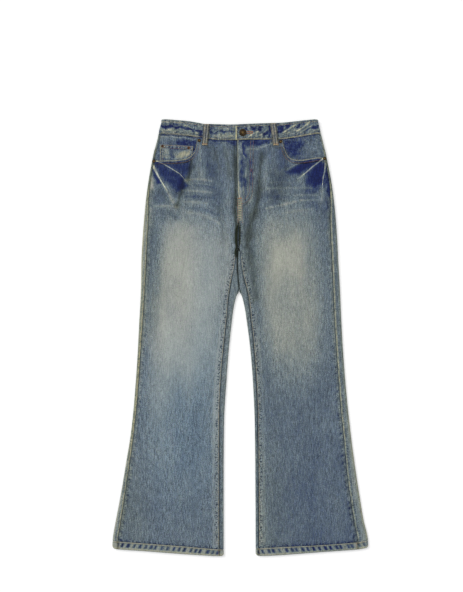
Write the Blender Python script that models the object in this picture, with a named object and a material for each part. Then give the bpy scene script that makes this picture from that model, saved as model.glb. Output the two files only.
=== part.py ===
"""Bootcut jeans laid flat, front up, as the pieces that are cut and sewn.

Sizes are in millimetres here and become metres in the meshes. x runs across the garment, with the
wearer's right side at -x. "down" is the distance below the highest point of the waist, as a cutter
measures it. z is the height above the table. Each cloth piece is a grid of points on its outer
face, thickened inwards to its real wall.
"""

import math

import bmesh
import bpy

MM = 0.001
LENGTH = 1027.0  # highest point of the waist to the lowest point of the hems
TOP_Y = LENGTH / 2  # the part's origin lies in the middle of the outline
CENTRE_X = -0.25  # the middle of the outline, from the line that the tables use

DENIM = 1.1  # wall of one layer of cloth
FACING = 0.8  # wall of the lighter pieces in the pocket mouths
BAND = 2.0  # the folded waistband
LOOP = 1.6  # a folded belt loop
HEM = 2.0  # the hem, turned up twice
SEAM_GAP = 0.3  # between two pieces that are sewn together
EDGE_GAP = 0.3  # more of it where the rows of two neighbours differ

APEX = 401.0  # where the legs part
APEX_REACH = 6.0  # the back seam turns under within this length at the apex
CROTCH = 300.0  # where the fronts and the backs meet
FLY_END = 171.0
HIP_ROW = 190.0  # from here down the front and the back share their rows
POCKET_TOP, POCKET_BOTTOM, POCKET_POINT = 140.0, 285.0, 305.0
POCKET_RAMP = 15.0  # the back rises over a back pocket within this distance


class Table:
    """Rows of named columns. at() reads one column at a value of the first, along a smooth curve."""

    def __init__(self, columns, rows):
        self.columns = columns.split()
        self.rows = rows

    def at(self, column, value):
        place = self.columns.index(column)
        keys = [row[0] for row in self.rows]
        heights = [row[place] for row in self.rows]
        value = min(max(value, keys[0]), keys[-1])
        after = next(i for i in range(1, len(keys)) if value <= keys[i] or i == len(keys) - 1)
        before = after - 1

        def slope(i):
            low, high = max(i - 1, 0), min(i + 1, len(keys) - 1)
            return (heights[high] - heights[low]) / (keys[high] - keys[low])

        span = keys[after] - keys[before]
        t = (value - keys[before]) / span
        rise = heights[after] - heights[before]
        start, end = slope(before) * span, slope(after) * span
        curve = ((start + end - 2 * rise) * t + 3 * rise - 2 * start - end) * t + start
        return heights[before] + curve * t


# The outline of the side of each leg and the seam that runs down inside it.
RIGHT_SIDE = Table("down outer outseam", [
    (8, -186.0, -182.0), (25, -190.5, -186.5), (49, -195.5, -191.5), (72, -202.0, -198.0),
    (96, -207.2, -203.0), (143, -215.6, -211.5), (190, -222.2, -215.5), (237, -226.7, -216.5),
    (284, -230.4, -219.0), (331, -232.8, -221.0), (401, -233.9, -225.0), (472, -237.7, -229.5),
    (566, -242.6, -236.0), (660, -249.5, -242.6), (707, -253.9, -247.3), (754, -259.8, -252.6),
    (801, -267.8, -259.3), (848, -275.5, -266.3), (895, -283.8, -273.4), (942, -292.7, -280.4),
    (989, -299.6, -287.0), (1012, -301.0, -288.0),
])
LEFT_SIDE = Table("down outer outseam", [
    (8, 183.0, 179.0), (25, 186.7, 182.7), (49, 192.8, 188.8), (72, 198.5, 194.5),
    (96, 203.6, 199.6), (143, 212.8, 208.7), (190, 219.6, 211.6), (237, 224.3, 211.5),
    (284, 227.6, 213.3), (331, 229.9, 215.6), (401, 233.9, 218.6), (472, 237.0, 221.6),
    (566, 242.6, 227.6), (660, 250.6, 234.4), (707, 255.6, 238.6), (754, 261.0, 243.6),
    (801, 267.3, 247.8), (848, 274.1, 252.8), (895, 281.4, 259.6), (942, 289.2, 266.5),
    (989, 298.4, 274.6), (1012, 300.6, 275.6),
])
# The inner edge of each leg, from where the legs part, and the inseam, from where fronts and backs meet.
RIGHT_INSIDE = Table("down inner", [
    (401, -3.0), (412, -8.0), (425, -12.1), (448, -16.8), (472, -19.9), (519, -25.3),
    (566, -29.5), (613, -32.7), (660, -36.1), (707, -38.4), (801, -39.6), (1012, -39.6),
])
LEFT_INSIDE = Table("down inner", [
    (401, -2.7), (412, 2.0), (425, 6.0), (448, 10.9), (472, 14.5), (519, 20.8),
    (566, 25.5), (613, 29.1), (660, 31.6), (707, 33.5), (801, 34.8), (1012, 36.0),
])
RIGHT_INSEAM = Table("down x", [
    (300, -4.6), (310, -8.6), (325, -10.4), (345, -13.0), (370, -18.6), (401, -24.5),
    (425, -28.0), (457, -30.0), (496, -34.4), (520, -36.9), (589, -43.4), (660, -47.6),
    (754, -49.0), (848, -49.2), (1012, -49.2),
])
LEFT_INSEAM = Table("down x", [
    (300, -4.3), (310, -0.8), (325, 0.0), (345, 1.6), (370, 6.6), (401, 14.5),
    (425, 18.9), (457, 22.4), (496, 26.9), (520, 29.5), (589, 34.8), (660, 38.8),
    (754, 40.6), (848, 41.4), (1012, 42.4),
])
# The line that halves the garment: the fly's edge, the front seam and, below the crotch, the back seam.
CENTRE = Table("down x", [
    (40, -7.2), (49, -6.9), (171, -5.3), (190, -2.4), (237, -2.6), (260, -3.6), (300, -4.5),
    (331, -6.6), (371, -5.6), (401, -2.85),
])
BACK_CENTRE = -2.85  # the back seam on the underside
# Height of the upper side, flattened by its own weight, from the waist to the hem.
TOP_SIDE = Table("down z", [
    (30, 6.1), (190, 6.0), (300, 5.5), (401, 4.9), (500, 4.6), (930, 4.6), (990, 5.1), (1012, 5.2),
])
BAND_Z, BAND_LOW = 6.9, 1.9  # the outer faces of the front and the back of the waistband
HEM_Z = 5.6  # height of the upper side of a hem
YOKE_RAMP = (64.0, 102.0)  # the yoke comes down from the raised band to the table between these rows
# The waistband across the front.
BAND_EDGES = Table("x top bottom", [
    (-194, 2.5, 33.0), (-177, 0.5, 34.4), (-150, 2.3, 36.3), (-125, 4.4, 39.0), (-100, 8.4, 42.4),
    (-86, 11.0, 44.4), (-60, 11.6, 48.6), (-27, 12.6, 49.6), (4, 12.0, 48.4), (41, 10.2, 47.9),
    (69, 9.2, 47.6), (97, 8.4, 46.6), (132, 4.8, 41.8), (156, 2.2, 37.6), (176, 0.6, 34.4),
    (194, 2.5, 32.6),
])
BAND_FOLD_X = 184.0  # the band's edges keep this height round its folded ends
UNDERLAP_END, OVERLAP_END = 16.0, -11.2
UNDERLAP = 12.0  # how far the right front runs on under the fly
UNDERLAP_DIP = 1.4
# The edge of each front pocket, from the waistband to the side.
RIGHT_MOUTH = Table("step x down", [
    (0, -101.5, 42.8), (1, -104.5, 61.0), (2, -107.6, 74.5), (3, -113.4, 83.6), (4, -121.0, 89.6),
    (5, -131.0, 93.6), (6, -154.0, 96.6), (7, -179.0, 97.2), (8, -203.0, 98.2),
])
LEFT_MOUTH = Table("step x down", [
    (0, 99.0, 46.8), (1, 102.2, 62.5), (2, 106.8, 76.6), (3, 112.7, 87.2), (4, 122.0, 94.0),
    (5, 139.5, 95.9), (6, 161.8, 93.2), (7, 180.0, 90.2), (8, 198.6, 91.2),
])
RIGHT_HEM = Table("x top bottom", [
    (-302, 990.6, 1007.0), (-292, 992.0, 1010.2), (-228, 996.8, 1014.8), (-144, 1003.0, 1021.3),
    (-90, 1007.8, 1024.8), (-64, 1010.0, 1026.4), (-39, 1011.6, 1026.4),
])
LEFT_HEM = Table("x top bottom", [
    (36, 1009.0, 1025.0), (50, 1008.2, 1026.2), (96, 1005.6, 1024.2), (187, 1001.0, 1017.4),
    (273, 994.4, 1011.2), (290, 991.4, 1008.6), (301, 989.6, 1005.6),
])

SIDES = {
    "right": (-1, RIGHT_SIDE, RIGHT_INSIDE, RIGHT_INSEAM, RIGHT_MOUTH, RIGHT_HEM),
    "left": (1, LEFT_SIDE, LEFT_INSIDE, LEFT_INSEAM, LEFT_MOUTH, LEFT_HEM),
}
LEG_ROWS = [190, 215, 240, 265, 285, 300, 310, 325, 345, 370, 401] + list(range(430, 981, 50))
BAND_COLUMNS, MOUTH_COLUMNS = 5, 8  # of a front: below the waistband, and along the pocket's mouth
SHARED_FOLD = (90, 45, 0, -45, -90)  # degrees round a folded edge
UNDER_COLUMNS = (0, 0.085, 0.14, 0.32, 0.5, 0.68, 0.85, 0.905, 1)  # shares of the underside's width
POCKET_FROM, POCKET_TO = 0.145, 0.845
LEG_HEM_SEAM = 0.9  # their rows differ, so they keep this much apart

COLOURS = {
    "denim": (0.17, 0.21, 0.24),
    "dark_denim": (0.05, 0.07, 0.13),
    "brass": (0.22, 0.15, 0.06),
    "copper": (0.32, 0.14, 0.07),
}
METALS = ("brass", "copper")


def mix(a, b, t):
    return a + (b - a) * t


def clamp01(t):
    return min(max(t, 0.0), 1.0)


def smooth(t):
    t = clamp01(t)
    return t * t * (3 - 2 * t)


# ---- the shared surfaces of the garment


def outer_x(side, down):
    return SIDES[side][1].at("outer", down)


def fold_low(down):
    """Height of the lower face at the side fold: the yoke is held up by the belt loops under the band."""
    return BAND_LOW * (1 - smooth((down - YOKE_RAMP[0]) / (YOKE_RAMP[1] - YOKE_RAMP[0])))


def fold_radius(down):
    return (TOP_SIDE.at("z", down) - fold_low(down)) / 2


def outseam_x(side, down):
    """The side seam, kept clear of the round of the fold."""
    sign, table = SIDES[side][:2]
    furthest = sign * outer_x(side, down) - fold_radius(down) - 1
    return sign * min(sign * table.at("outseam", down), furthest)


def centre_x(down):
    return CENTRE.at("x", down)


def front_inner_x(side, down):
    """The inner edge of a front piece: the fly, the front seam, then the inseam."""
    sign = SIDES[side][0]
    if down > CROTCH:
        return SIDES[side][3].at("x", down) + sign * SEAM_GAP
    edge = centre_x(down) + sign * SEAM_GAP / 2
    if side == "right":
        edge += (UNDERLAP + SEAM_GAP) * (1 - smooth((down - FLY_END) / 15))
    return edge


def under_inner_x(side, down):
    """The inner end of the flat underside of a back piece, at the back seam or at the leg's fold."""
    sign, _, inside = SIDES[side][:3]
    if down < APEX:
        return BACK_CENTRE + sign * SEAM_GAP / 2
    return inside.at("inner", down) + sign * fold_radius(down)


def pocket_rise(share, down):
    """How far the back is lifted by the patch pocket under it."""
    across = min((share - 0.085) / 0.055, (0.905 - share) / 0.055)
    along = min((down - POCKET_TOP) / POCKET_RAMP + 1, (POCKET_POINT - down) / POCKET_RAMP + 4 / 3)
    return (DENIM + SEAM_GAP) * min(clamp01(across), clamp01(along))


def under_point(side, share, down):
    """A point of the underside, at a share of its width from the side fold."""
    sign = SIDES[side][0]
    start = outer_x(side, down) - sign * fold_radius(down)
    x = mix(start, under_inner_x(side, down), share)
    return x, down, fold_low(down) + pocket_rise(share, down)


def side_fold(side, down):
    """The points of a back piece from the side seam, round the fold, to its lower face."""
    sign = SIDES[side][0]
    radius, top = fold_radius(down), TOP_SIDE.at("z", down)
    centre = outer_x(side, down) - sign * radius
    seam = outseam_x(side, down)
    points = [(mix(seam, centre, t), down, top) for t in (0, 0.5)]
    for angle in SHARED_FOLD[:-1]:
        turn = math.radians(angle)
        points.append((centre + sign * radius * math.cos(turn), down, top - radius + radius * math.sin(turn)))
    return points


def below_band(x):
    """The upper edge of what is sewn into the waistband, in rows of its own."""
    inside = min(max(x, -BAND_FOLD_X), BAND_FOLD_X)
    return BAND_EDGES.at("bottom", inside) + SEAM_GAP + EDGE_GAP


# ---- making a piece from its grid


def to_metres(point):
    x, down, z = point
    return (x - CENTRE_X) * MM, (TOP_Y - down) * MM, z * MM


def material_for(name, colour):
    material = bpy.data.materials.new(name + "_material")
    material.use_nodes = True
    shader = material.node_tree.nodes["Principled BSDF"]
    shader.inputs["Base Color"].default_value = (*COLOURS[colour], 1)
    shader.inputs["Metallic"].default_value = 0.9 if colour in METALS else 0
    shader.inputs["Roughness"].default_value = 0.4 if colour in METALS else 0.9
    return material


def add_object(name, mesh, colour):
    obj = bpy.data.objects.new(name, mesh)
    mesh.materials.append(material_for(name, colour))
    bpy.context.scene.collection.objects.link(obj)
    return obj


def cloth(name, grid, wall, colour="denim", flip=False, closed=False):
    """A cloth piece from rows of points on its outer face. None leaves a hole in the grid."""
    shape = bmesh.new()
    made = [[point and shape.verts.new(to_metres(point)) for point in row] for row in grid]
    for upper, lower in zip(made, made[1:]):
        columns = list(zip(upper, lower))
        pairs = list(zip(columns, columns[1:]))
        if closed:
            pairs.append((columns[-1], columns[0]))
        for (a, b), (c, d) in pairs:
            corners = [b, d, c, a] if not flip else [a, c, d, b]
            if all(corners):
                shape.faces.new(corners)
    for vert in [v for v in shape.verts if not v.link_faces]:
        shape.verts.remove(vert)
    shape.normal_update()
    mesh = bpy.data.meshes.new(name)
    shape.to_mesh(mesh)
    shape.free()
    mesh.shade_smooth()
    obj = add_object(name, mesh, colour)
    wall_modifier = obj.modifiers.new("wall", "SOLIDIFY")
    wall_modifier.thickness = wall * MM
    wall_modifier.offset = -1
    wall_modifier.use_even_offset = True
    return obj


# ---- the cut pieces


def front_top(side, column):
    """A point of the upper edge of a front: below the waistband, then along the pocket's mouth."""
    sign, mouth = SIDES[side][0], SIDES[side][4]
    if column <= BAND_COLUMNS:
        x = mix(front_inner_x(side, 49), mouth.at("x", 0), column / BAND_COLUMNS)
        return x, below_band(x)
    step = column - BAND_COLUMNS
    x, down = mouth.at("x", step), mouth.at("down", step)
    if step == MOUTH_COLUMNS:
        x = outseam_x(side, down) - sign * (SEAM_GAP + EDGE_GAP)
    return x, down


def front_piece(side):
    """The front of a leg, with the scooped pocket mouth cut out of its upper corner."""
    sign, hem = SIDES[side][0], SIDES[side][5]
    columns = BAND_COLUMNS + MOUTH_COLUMNS
    grid = []
    for share in (0, 0.2, 0.42, 0.64, 0.82):
        row = []
        for column in range(columns + 1):
            top_x, top_down = front_top(side, column)
            down = mix(top_down, HIP_ROW, share)
            inner, outer = front_inner_x(side, top_down), outseam_x(side, top_down)
            top_part = (top_x - inner) / (outer - inner)
            part = mix(top_part, column / columns, smooth(share))
            outer = outseam_x(side, down) - sign * (SEAM_GAP + EDGE_GAP)
            x = mix(front_inner_x(side, down), outer, part)
            row.append((x, down, front_z(side, column, down)))
        grid.append(row)
    for down in LEG_ROWS + [0]:
        row = []
        for column in range(columns + 1):
            part = column / columns
            level = down or 1000
            x = mix(front_inner_x(side, level), outseam_x(side, level) - sign * SEAM_GAP, part)
            edge = down or hem.at("top", x) - LEG_HEM_SEAM
            row.append((x, edge, front_z(side, column, edge)))
        grid.append(row)
    return cloth("front_" + side, grid, DENIM, flip=sign < 0)


def front_z(side, column, down):
    """The right front dips under the fly; the rest follows the upper side."""
    dip = 0.0
    if side == "right" and column <= 1:
        dip = UNDERLAP_DIP * (1 - smooth((down - FLY_END - 16) / 25))
    return TOP_SIDE.at("z", down) - dip


def leg_fold(side, down):
    """The points of a back piece round the inner edge of the leg. There is no fold above the apex."""
    sign = SIDES[side][0]
    radius, centre = fold_radius(down), under_inner_x(side, down)
    turns = [math.radians(angle) for angle in reversed(SHARED_FOLD[1:-1])]
    if down < APEX:
        return [None] * len(turns)
    if down == APEX:
        seam = BACK_CENTRE + sign * SEAM_GAP / 2
        return [(seam, down - APEX_REACH * (1 - math.cos(turn)), radius + radius * math.sin(turn)) for turn in turns]
    return [(centre - sign * radius * math.cos(turn), down, radius + radius * math.sin(turn)) for turn in turns]


def back_strip(side, down):
    """What shows of a back piece beside the inseam."""
    sign, inseam = SIDES[side][0], SIDES[side][3]
    start = under_inner_x(side, down) if down > APEX else centre_x(down) + sign * SEAM_GAP / 2
    reach = APEX_REACH if down == APEX else 0.0
    if down <= CROTCH:
        return [None] * 3
    top = TOP_SIDE.at("z", down)
    return [(mix(start, inseam.at("x", down), share), down - reach * (1 - share), top) for share in (0, 0.5, 1)]


def back_row(side, down, hem_row=False):
    """One row of a back piece, from the side seam round the underside to the inseam."""
    sign, hem = SIDES[side][0], SIDES[side][5]
    underside = [under_point(side, share, down) for share in UNDER_COLUMNS]
    if down == APEX:
        underside[-1] = (BACK_CENTRE + sign * SEAM_GAP / 2, down - APEX_REACH, underside[-1][2])
    points = side_fold(side, down) + underside + leg_fold(side, down) + back_strip(side, down)
    if hem_row:
        points = [(x, hem.at("top", x) - LEG_HEM_SEAM, z) for x, _, z in points]
    return points


def yoke_seam(share):
    """The lower edge of the yoke, which is deeper at the back seam."""
    return mix(72.0, 108.0, share)


def back_piece(side):
    sign = SIDES[side][0]
    seam_row = side_fold(side, yoke_seam(0) + SEAM_GAP)
    seam_row += [under_point(side, share, yoke_seam(share) + SEAM_GAP) for share in UNDER_COLUMNS]
    width = len(back_row(side, 200.0))
    grid = [seam_row + [None] * (width - len(seam_row))]
    upper = [POCKET_TOP - POCKET_RAMP, POCKET_TOP, 165]
    grid += [back_row(side, float(down)) for down in upper + LEG_ROWS]
    grid.append(back_row(side, 1000.0, hem_row=True))
    return cloth("back_" + side, grid, DENIM, flip=sign < 0)


def yoke_piece(side):
    sign = SIDES[side][0]
    shares = (0.0, 0.3, 0.65, 1.0)
    grid = []
    for share in shares:
        fold_down = mix(below_band(sign * BAND_FOLD_X) + EDGE_GAP, yoke_seam(0), share)
        row = side_fold(side, fold_down)
        for column in UNDER_COLUMNS:
            top_x = under_point(side, column, 40)[0]
            down = mix(below_band(top_x) + EDGE_GAP, yoke_seam(column), share)
            row.append(under_point(side, column, down))
        grid.append(row)
    return cloth("yoke_" + side, grid, DENIM, flip=sign < 0)


def back_pocket(side):
    """A plain patch pocket with a pointed lower edge, under the back."""
    sign = SIDES[side][0]
    grid = []
    for step in range(7):
        row = []
        for column in range(5):
            across = column / 4
            share = mix(POCKET_FROM, POCKET_TO, across)
            share = mix(0.495, share, mix(1, 0.92, step / 6))
            lowest = mix(POCKET_BOTTOM, POCKET_POINT, 1 - abs(2 * across - 1))
            down = mix(POCKET_TOP + 1, lowest, step / 6)
            x = under_point(side, share, down)[0]
            row.append((x, down, 0.0))
        grid.append(row)
    return cloth("back_pocket_" + side, grid, DENIM, flip=sign < 0)


def facing_z(down):
    """The upper face of a pocket facing, above the yoke and below the front."""
    return mix(4.15, 3.05, smooth((down - YOKE_RAMP[0]) / 45))


def facing_piece(side):
    """The piece that shows in the pocket's mouth, with its hidden allowance under the front."""
    sign, _, _, _, mouth, _ = SIDES[side]
    inner = mouth.at("x", 0) - sign * 16
    grid = []
    for step in range(6):
        row = []
        for column in range(9):
            across = column / 8
            top_x = mix(inner, outer_x(side, 36) - sign * fold_radius(36), across)
            down = mix(below_band(top_x) + EDGE_GAP, 114, step / 5)
            edge = outer_x(side, down) - sign * (fold_radius(down) + 0.6)
            x = mix(inner, edge, across)
            row.append((x, down, facing_z(down)))
        grid.append(row)
    return cloth("pocket_facing_" + side, grid, FACING, "dark_denim", flip=sign < 0)


def coin_pocket():
    """The small pocket on the wearer's right facing; its lower end is under the front."""
    grid = []
    for step in range(4):
        row = []
        for column in range(5):
            x = mix(-110.5, -189.5, column / 4) + 6.0 * (1 - column / 4) * -step / 3
            down = mix(mix(63.2, 59.0, column / 4), 108, step / 3)
            row.append((x, down, facing_z(down) + SEAM_GAP + FACING))
        grid.append(row)
    return cloth("coin_pocket", grid, FACING, flip=True)


def band_level(x, side):
    """The outer face of the front of the waistband: the left end laps over the right one."""
    if side == "right":
        return BAND_Z
    return BAND_Z + (BAND + SEAM_GAP) * (1 - smooth((x - UNDERLAP_END - 3) / 28))


def band_grid():
    """The waistband, from its right end under the fly, round the back, to its left end."""
    stations = []
    for x in (UNDERLAP_END, 0, -25, -50, -75, -100, -125, -150, -170):
        stations.append((x, x, BAND_Z))
    stations += band_fold("right")
    for x in (-165, -145, -125, -105, -85, -65, -30, 5, 40, 75, 95, 115, 135, 155, 170):
        stations.append((x, x, BAND_LOW))
    stations += reversed(band_fold("left"))
    for x in (168, 150, 125, 100, 75, 47, 38, 30, 22, 16, 4, OVERLAP_END):
        stations.append((x, x, band_level(x, "left")))
    grid = []
    for height in (0.0, 0.5, 1.0):
        row = []
        for place, look_up, z in stations:
            top, bottom = BAND_EDGES.at("top", look_up), BAND_EDGES.at("bottom", look_up)
            if z < BAND_Z - 0.01:
                top += 1.2
            down = mix(top, bottom, height)
            x = place(down) if callable(place) else place
            row.append((x, down, z))
        grid.append(row)
    return grid


def band_fold(side):
    """Stations round the folded end of the waistband; each gives x as a function of down."""
    sign = SIDES[side][0]
    radius = (BAND_Z - BAND_LOW) / 2
    found = []
    for angle in (90, 60, 30, 0, -30, -60, -90):
        turn = math.radians(angle)

        def place(down, turn=turn):
            return outer_x(side, down) - sign * radius * (1 - math.cos(turn))

        found.append((place, sign * BAND_FOLD_X, BAND_LOW + radius + radius * math.sin(turn)))
    return found


def waistband():
    band = cloth("waistband", band_grid(), BAND, flip=True)
    start, height = BAND_Z + SEAM_GAP / 2, BAND + 2 * SEAM_GAP
    hole = disc("buttonhole_cutter", BUTTON_X, BUTTON_DOWN, start, height, BUTTONHOLE_RADIUS, "brass")
    hole.hide_render = True
    hole.display_type = "WIRE"
    cut = band.modifiers.new("buttonhole", "BOOLEAN")
    cut.operation = "DIFFERENCE"
    cut.object = hole
    return band


def belt_loop(name, x_top, x_bottom, top, bottom, front=True):
    """A belt loop from the upper edge of the waistband to just below it."""
    half = 7.0
    edge = BAND_EDGES.at("bottom", x_top)
    if front:
        high, low = BAND_Z + 0.5 + LOOP, 6.1 + SEAM_GAP + LOOP
        profile = [(top, high - 0.2), (top + 4, high), (mix(top, edge, 0.5), high + 0.6), (edge - 4, high),
                   (edge + 4, mix(high, low, 0.6)), (edge + 9, low), (bottom, low)]
    else:
        profile = [(mix(top, bottom, t), 0.0) for t in (0, 0.33, 0.66, 1)]
    grid = []
    for down, z in profile:
        x = mix(x_top, x_bottom, (down - top) / (bottom - top))
        grid.append([(x + half * t, down, z) for t in (-1, 0, 1)])
    return cloth(name, grid, LOOP, flip=not front)


def hem_ring(side):
    """The turned-up end of a leg, a flat tube."""
    sign, _, inside, _, _, hem = SIDES[side]
    radius = HEM_Z / 2
    turns = [math.radians(angle) for angle in (50, 0, -50)]
    flat = [step / 8 for step in range(9)]
    grid = []
    for height in (0.0, 1.0):
        level = mix(1000, 1012, height)
        outer = outer_x(side, level) - sign * radius
        inner = inside.at("inner", level) + sign * radius
        row = [(mix(inner, outer, share), HEM_Z) for share in flat]
        row += [(outer + sign * radius * math.cos(turn), radius + radius * math.sin(turn)) for turn in turns]
        row += [(mix(outer, inner, share), 0.0) for share in flat]
        row += [(inner - sign * radius * math.cos(turn), radius - radius * math.sin(turn)) for turn in turns]
        grid.append([(x, mix(hem.at("top", x), hem.at("bottom", x), height), z) for x, z in row])
    return cloth("hem_" + side, grid, HEM, flip=sign < 0, closed=True)


def fly_zip():
    """A plain closed zip tape, hidden under the fly."""
    grid = []
    for down in (82, 110, 140, 168):
        middle = centre_x(down) + 1
        grid.append([(middle + 12 * t, down, 3.2) for t in (-1, 0, 1)])
    return cloth("fly_zip", grid, 1.0, "dark_denim")


# ---- the metal pieces

BUTTON_X, BUTTON_DOWN = 5.3, 32.2
BUTTON_RADIUS, BUTTON_HEIGHT = 8.6, 2.6
SHANK_RADIUS, BUTTONHOLE_RADIUS = 2.4, 3.0
RIVET_RADIUS, RIVET_HEIGHT = 4.0, 1.2


def disc(name, x, down, z, height, radius, colour):
    bpy.ops.mesh.primitive_cylinder_add(vertices=24, radius=radius * MM, depth=height * MM)
    obj = bpy.context.active_object
    obj.name = name
    obj.data.name = name
    obj.location = to_metres((x, down, z + height / 2))
    obj.data.materials.append(material_for(name, colour))
    return obj


def turned(name, x, down, z, profile, colour):
    """A turned piece from (radius, height) pairs that start and end on its axis."""
    shape = bmesh.new()
    verts = [shape.verts.new((radius * MM, 0, height * MM)) for radius, height in profile]
    edges = [shape.edges.new(pair) for pair in zip(verts, verts[1:])]
    bmesh.ops.spin(shape, geom=verts + edges, cent=(0, 0, 0), axis=(0, 0, 1),
                   angle=math.tau, steps=24, use_merge=True)
    bmesh.ops.remove_doubles(shape, verts=shape.verts, dist=1e-6)
    bmesh.ops.recalc_face_normals(shape, faces=shape.faces)
    mesh = bpy.data.meshes.new(name)
    shape.to_mesh(mesh)
    shape.free()
    mesh.shade_smooth()
    obj = add_object(name, mesh, colour)
    obj.location = to_metres((x, down, z))
    return obj


def button():
    """A domed cap on a shank that stands on the right end of the band, through the buttonhole."""
    shank = BAND + 2 * SEAM_GAP
    cap = shank + BUTTON_HEIGHT
    profile = [(0, 0), (SHANK_RADIUS, 0), (SHANK_RADIUS, shank), (BUTTON_RADIUS - 0.6, shank),
               (BUTTON_RADIUS, shank + 0.7), (BUTTON_RADIUS - 0.5, cap - 0.7), (BUTTON_RADIUS - 1.8, cap),
               (BUTTON_RADIUS - 3.2, cap - 0.3), (0, cap - 0.5)]
    return turned("button", BUTTON_X, BUTTON_DOWN, BAND_Z + SEAM_GAP, profile, "brass")


def rivet(name, x, down, z, colour, radius=RIVET_RADIUS):
    profile = [(0, 0), (radius, 0), (radius, 0.4), (radius - 0.8, 0.9), (radius - 2.2, 0.9), (0, RIVET_HEIGHT)]
    return turned(name, x, down, z + SEAM_GAP, profile, colour)


def clear_scene():
    for obj in list(bpy.data.objects):
        bpy.data.objects.remove(obj, do_unlink=True)


def build():
    clear_scene()
    for side in SIDES:
        front_piece(side)
        back_piece(side)
        yoke_piece(side)
        back_pocket(side)
        facing_piece(side)
        hem_ring(side)
    coin_pocket()
    waistband()
    fly_zip()
    belt_loop("belt_loop_front_right", -79.3, -83.8, 11.8, 62.0)
    belt_loop("belt_loop_front_left", 76.5, 83.5, 10.2, 62.5)
    belt_loop("belt_loop_back_right", -120, -120, 8.0, 54.0, front=False)
    belt_loop("belt_loop_back_centre", BACK_CENTRE, BACK_CENTRE, 14.0, 60.0, front=False)
    belt_loop("belt_loop_back_left", 118, 118, 8.0, 54.0, front=False)
    button()
    top = TOP_SIDE.at("z", 60)
    rivet("rivet_pocket_right_inner", -96.7, 50.4, top, "brass")
    rivet("rivet_pocket_right_outer", -203.2, 99.0, top, "brass")
    rivet("rivet_pocket_left_inner", 94.6, 52.8, top, "brass")
    rivet("rivet_pocket_left_outer", 197.6, 92.6, top, "brass")
    coin_top = facing_z(65) + SEAM_GAP + FACING
    rivet("rivet_coin_outer", -183.4, 63.4, coin_top, "copper", 3.2)
    rivet("rivet_coin_inner", -121.8, 67.4, coin_top, "copper", 3.2)


build()
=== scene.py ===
"""The finish of a pair of washed bootcut jeans that lie flat with the front up.

Sizes are in millimetres until a mesh is made. x runs across the garment, with the wearer's right
side at -x. down is the distance below the highest point of the waist. z is the height above the
table. wear runs from 0, raw indigo, to 1, washed nearly white.
"""

import math

import bmesh
import bpy
import numpy as np
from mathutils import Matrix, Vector
from mathutils.bvhtree import BVHTree


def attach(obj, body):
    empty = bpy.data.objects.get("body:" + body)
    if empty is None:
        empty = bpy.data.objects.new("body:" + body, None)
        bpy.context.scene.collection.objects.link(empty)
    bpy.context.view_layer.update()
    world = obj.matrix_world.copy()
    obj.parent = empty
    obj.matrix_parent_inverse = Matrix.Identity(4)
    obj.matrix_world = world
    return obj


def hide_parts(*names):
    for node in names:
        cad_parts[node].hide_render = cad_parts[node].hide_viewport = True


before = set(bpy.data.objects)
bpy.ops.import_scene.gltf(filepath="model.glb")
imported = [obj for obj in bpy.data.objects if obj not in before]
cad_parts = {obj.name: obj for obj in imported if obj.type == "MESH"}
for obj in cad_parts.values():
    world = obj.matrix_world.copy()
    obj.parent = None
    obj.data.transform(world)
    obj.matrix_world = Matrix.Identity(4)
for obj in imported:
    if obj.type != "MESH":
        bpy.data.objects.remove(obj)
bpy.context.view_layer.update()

MM = 0.001
LENGTH = 1027.0
TOP_Y = LENGTH / 2
CENTRE_X = -0.25

DENIM, FACING, BAND, LOOP, HEM = 1.1, 0.8, 2.0, 1.6, 2.0  # walls of the kinds of piece
SEAM_GAP = 0.3
CELL = 3.1  # spacing of the points of a visible cloth surface

APEX, APEX_REACH, CROTCH, HIP_ROW = 401.0, 6.0, 300.0, 190.0
FLY_END = 171.0
UNDERLAP, UNDERLAP_DIP = 12.0, 1.4
POCKET_TOP, POCKET_BOTTOM, POCKET_POINT, POCKET_RAMP = 140.0, 285.0, 305.0, 15.0
POCKET_FROM, POCKET_TO = 0.145, 0.845
YOKE_RAMP = (64.0, 102.0)
YOKE_SEAM = (72.0, 108.0)  # at the side and at the back's seam
FACING_Z = (4.15, 3.05)  # below the waistband and at its lowest
COIN_X, COIN_TOP, COIN_BOTTOM = (-110.5, -189.5), (63.2, 59.0), 108
ZIP_FROM, ZIP_TO, ZIP_WIDTH = 82, 168, 24
BAND_Z, BAND_LOW = 6.9, 1.9
BAND_FLAT_X, BAND_FOLD_X = 170.0, 184.0
UNDERLAP_END, OVERLAP_END = 16.0, -11.2
HEM_Z, HEM_HEIGHT = 5.6, 17.0
BACK_CENTRE = -2.85
LEG_END, LEG_HEM_SEAM, HEM_SLOPE_FROM = 1000, 0.5, 930
SLIT_TOP = 236
BUTTON_X, BUTTON_DOWN = 5.3, 32.2


# ---- tables of sizes


class Table:
    """Rows of named columns. at() reads a column at values of the first one, along a smooth curve."""

    def __init__(self, columns, rows):
        self.columns = columns.split()
        self.data = np.array(rows, float)

    def at(self, column, value):
        keys, heights = self.data[:, 0], self.data[:, self.columns.index(column)]
        value = np.clip(value, keys[0], keys[-1])
        low = np.clip(np.searchsorted(keys, value) - 1, 0, len(keys) - 2)
        places = np.arange(len(keys))
        before, after = np.maximum(places - 1, 0), np.minimum(places + 1, len(keys) - 1)
        slopes = (heights[after] - heights[before]) / (keys[after] - keys[before])
        span = keys[low + 1] - keys[low]
        t = (value - keys[low]) / span
        rise = heights[low + 1] - heights[low]
        start, end = slopes[low] * span, slopes[low + 1] * span
        return heights[low] + (((start + end - 2 * rise) * t + 3 * rise - 2 * start - end) * t + start) * t


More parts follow.
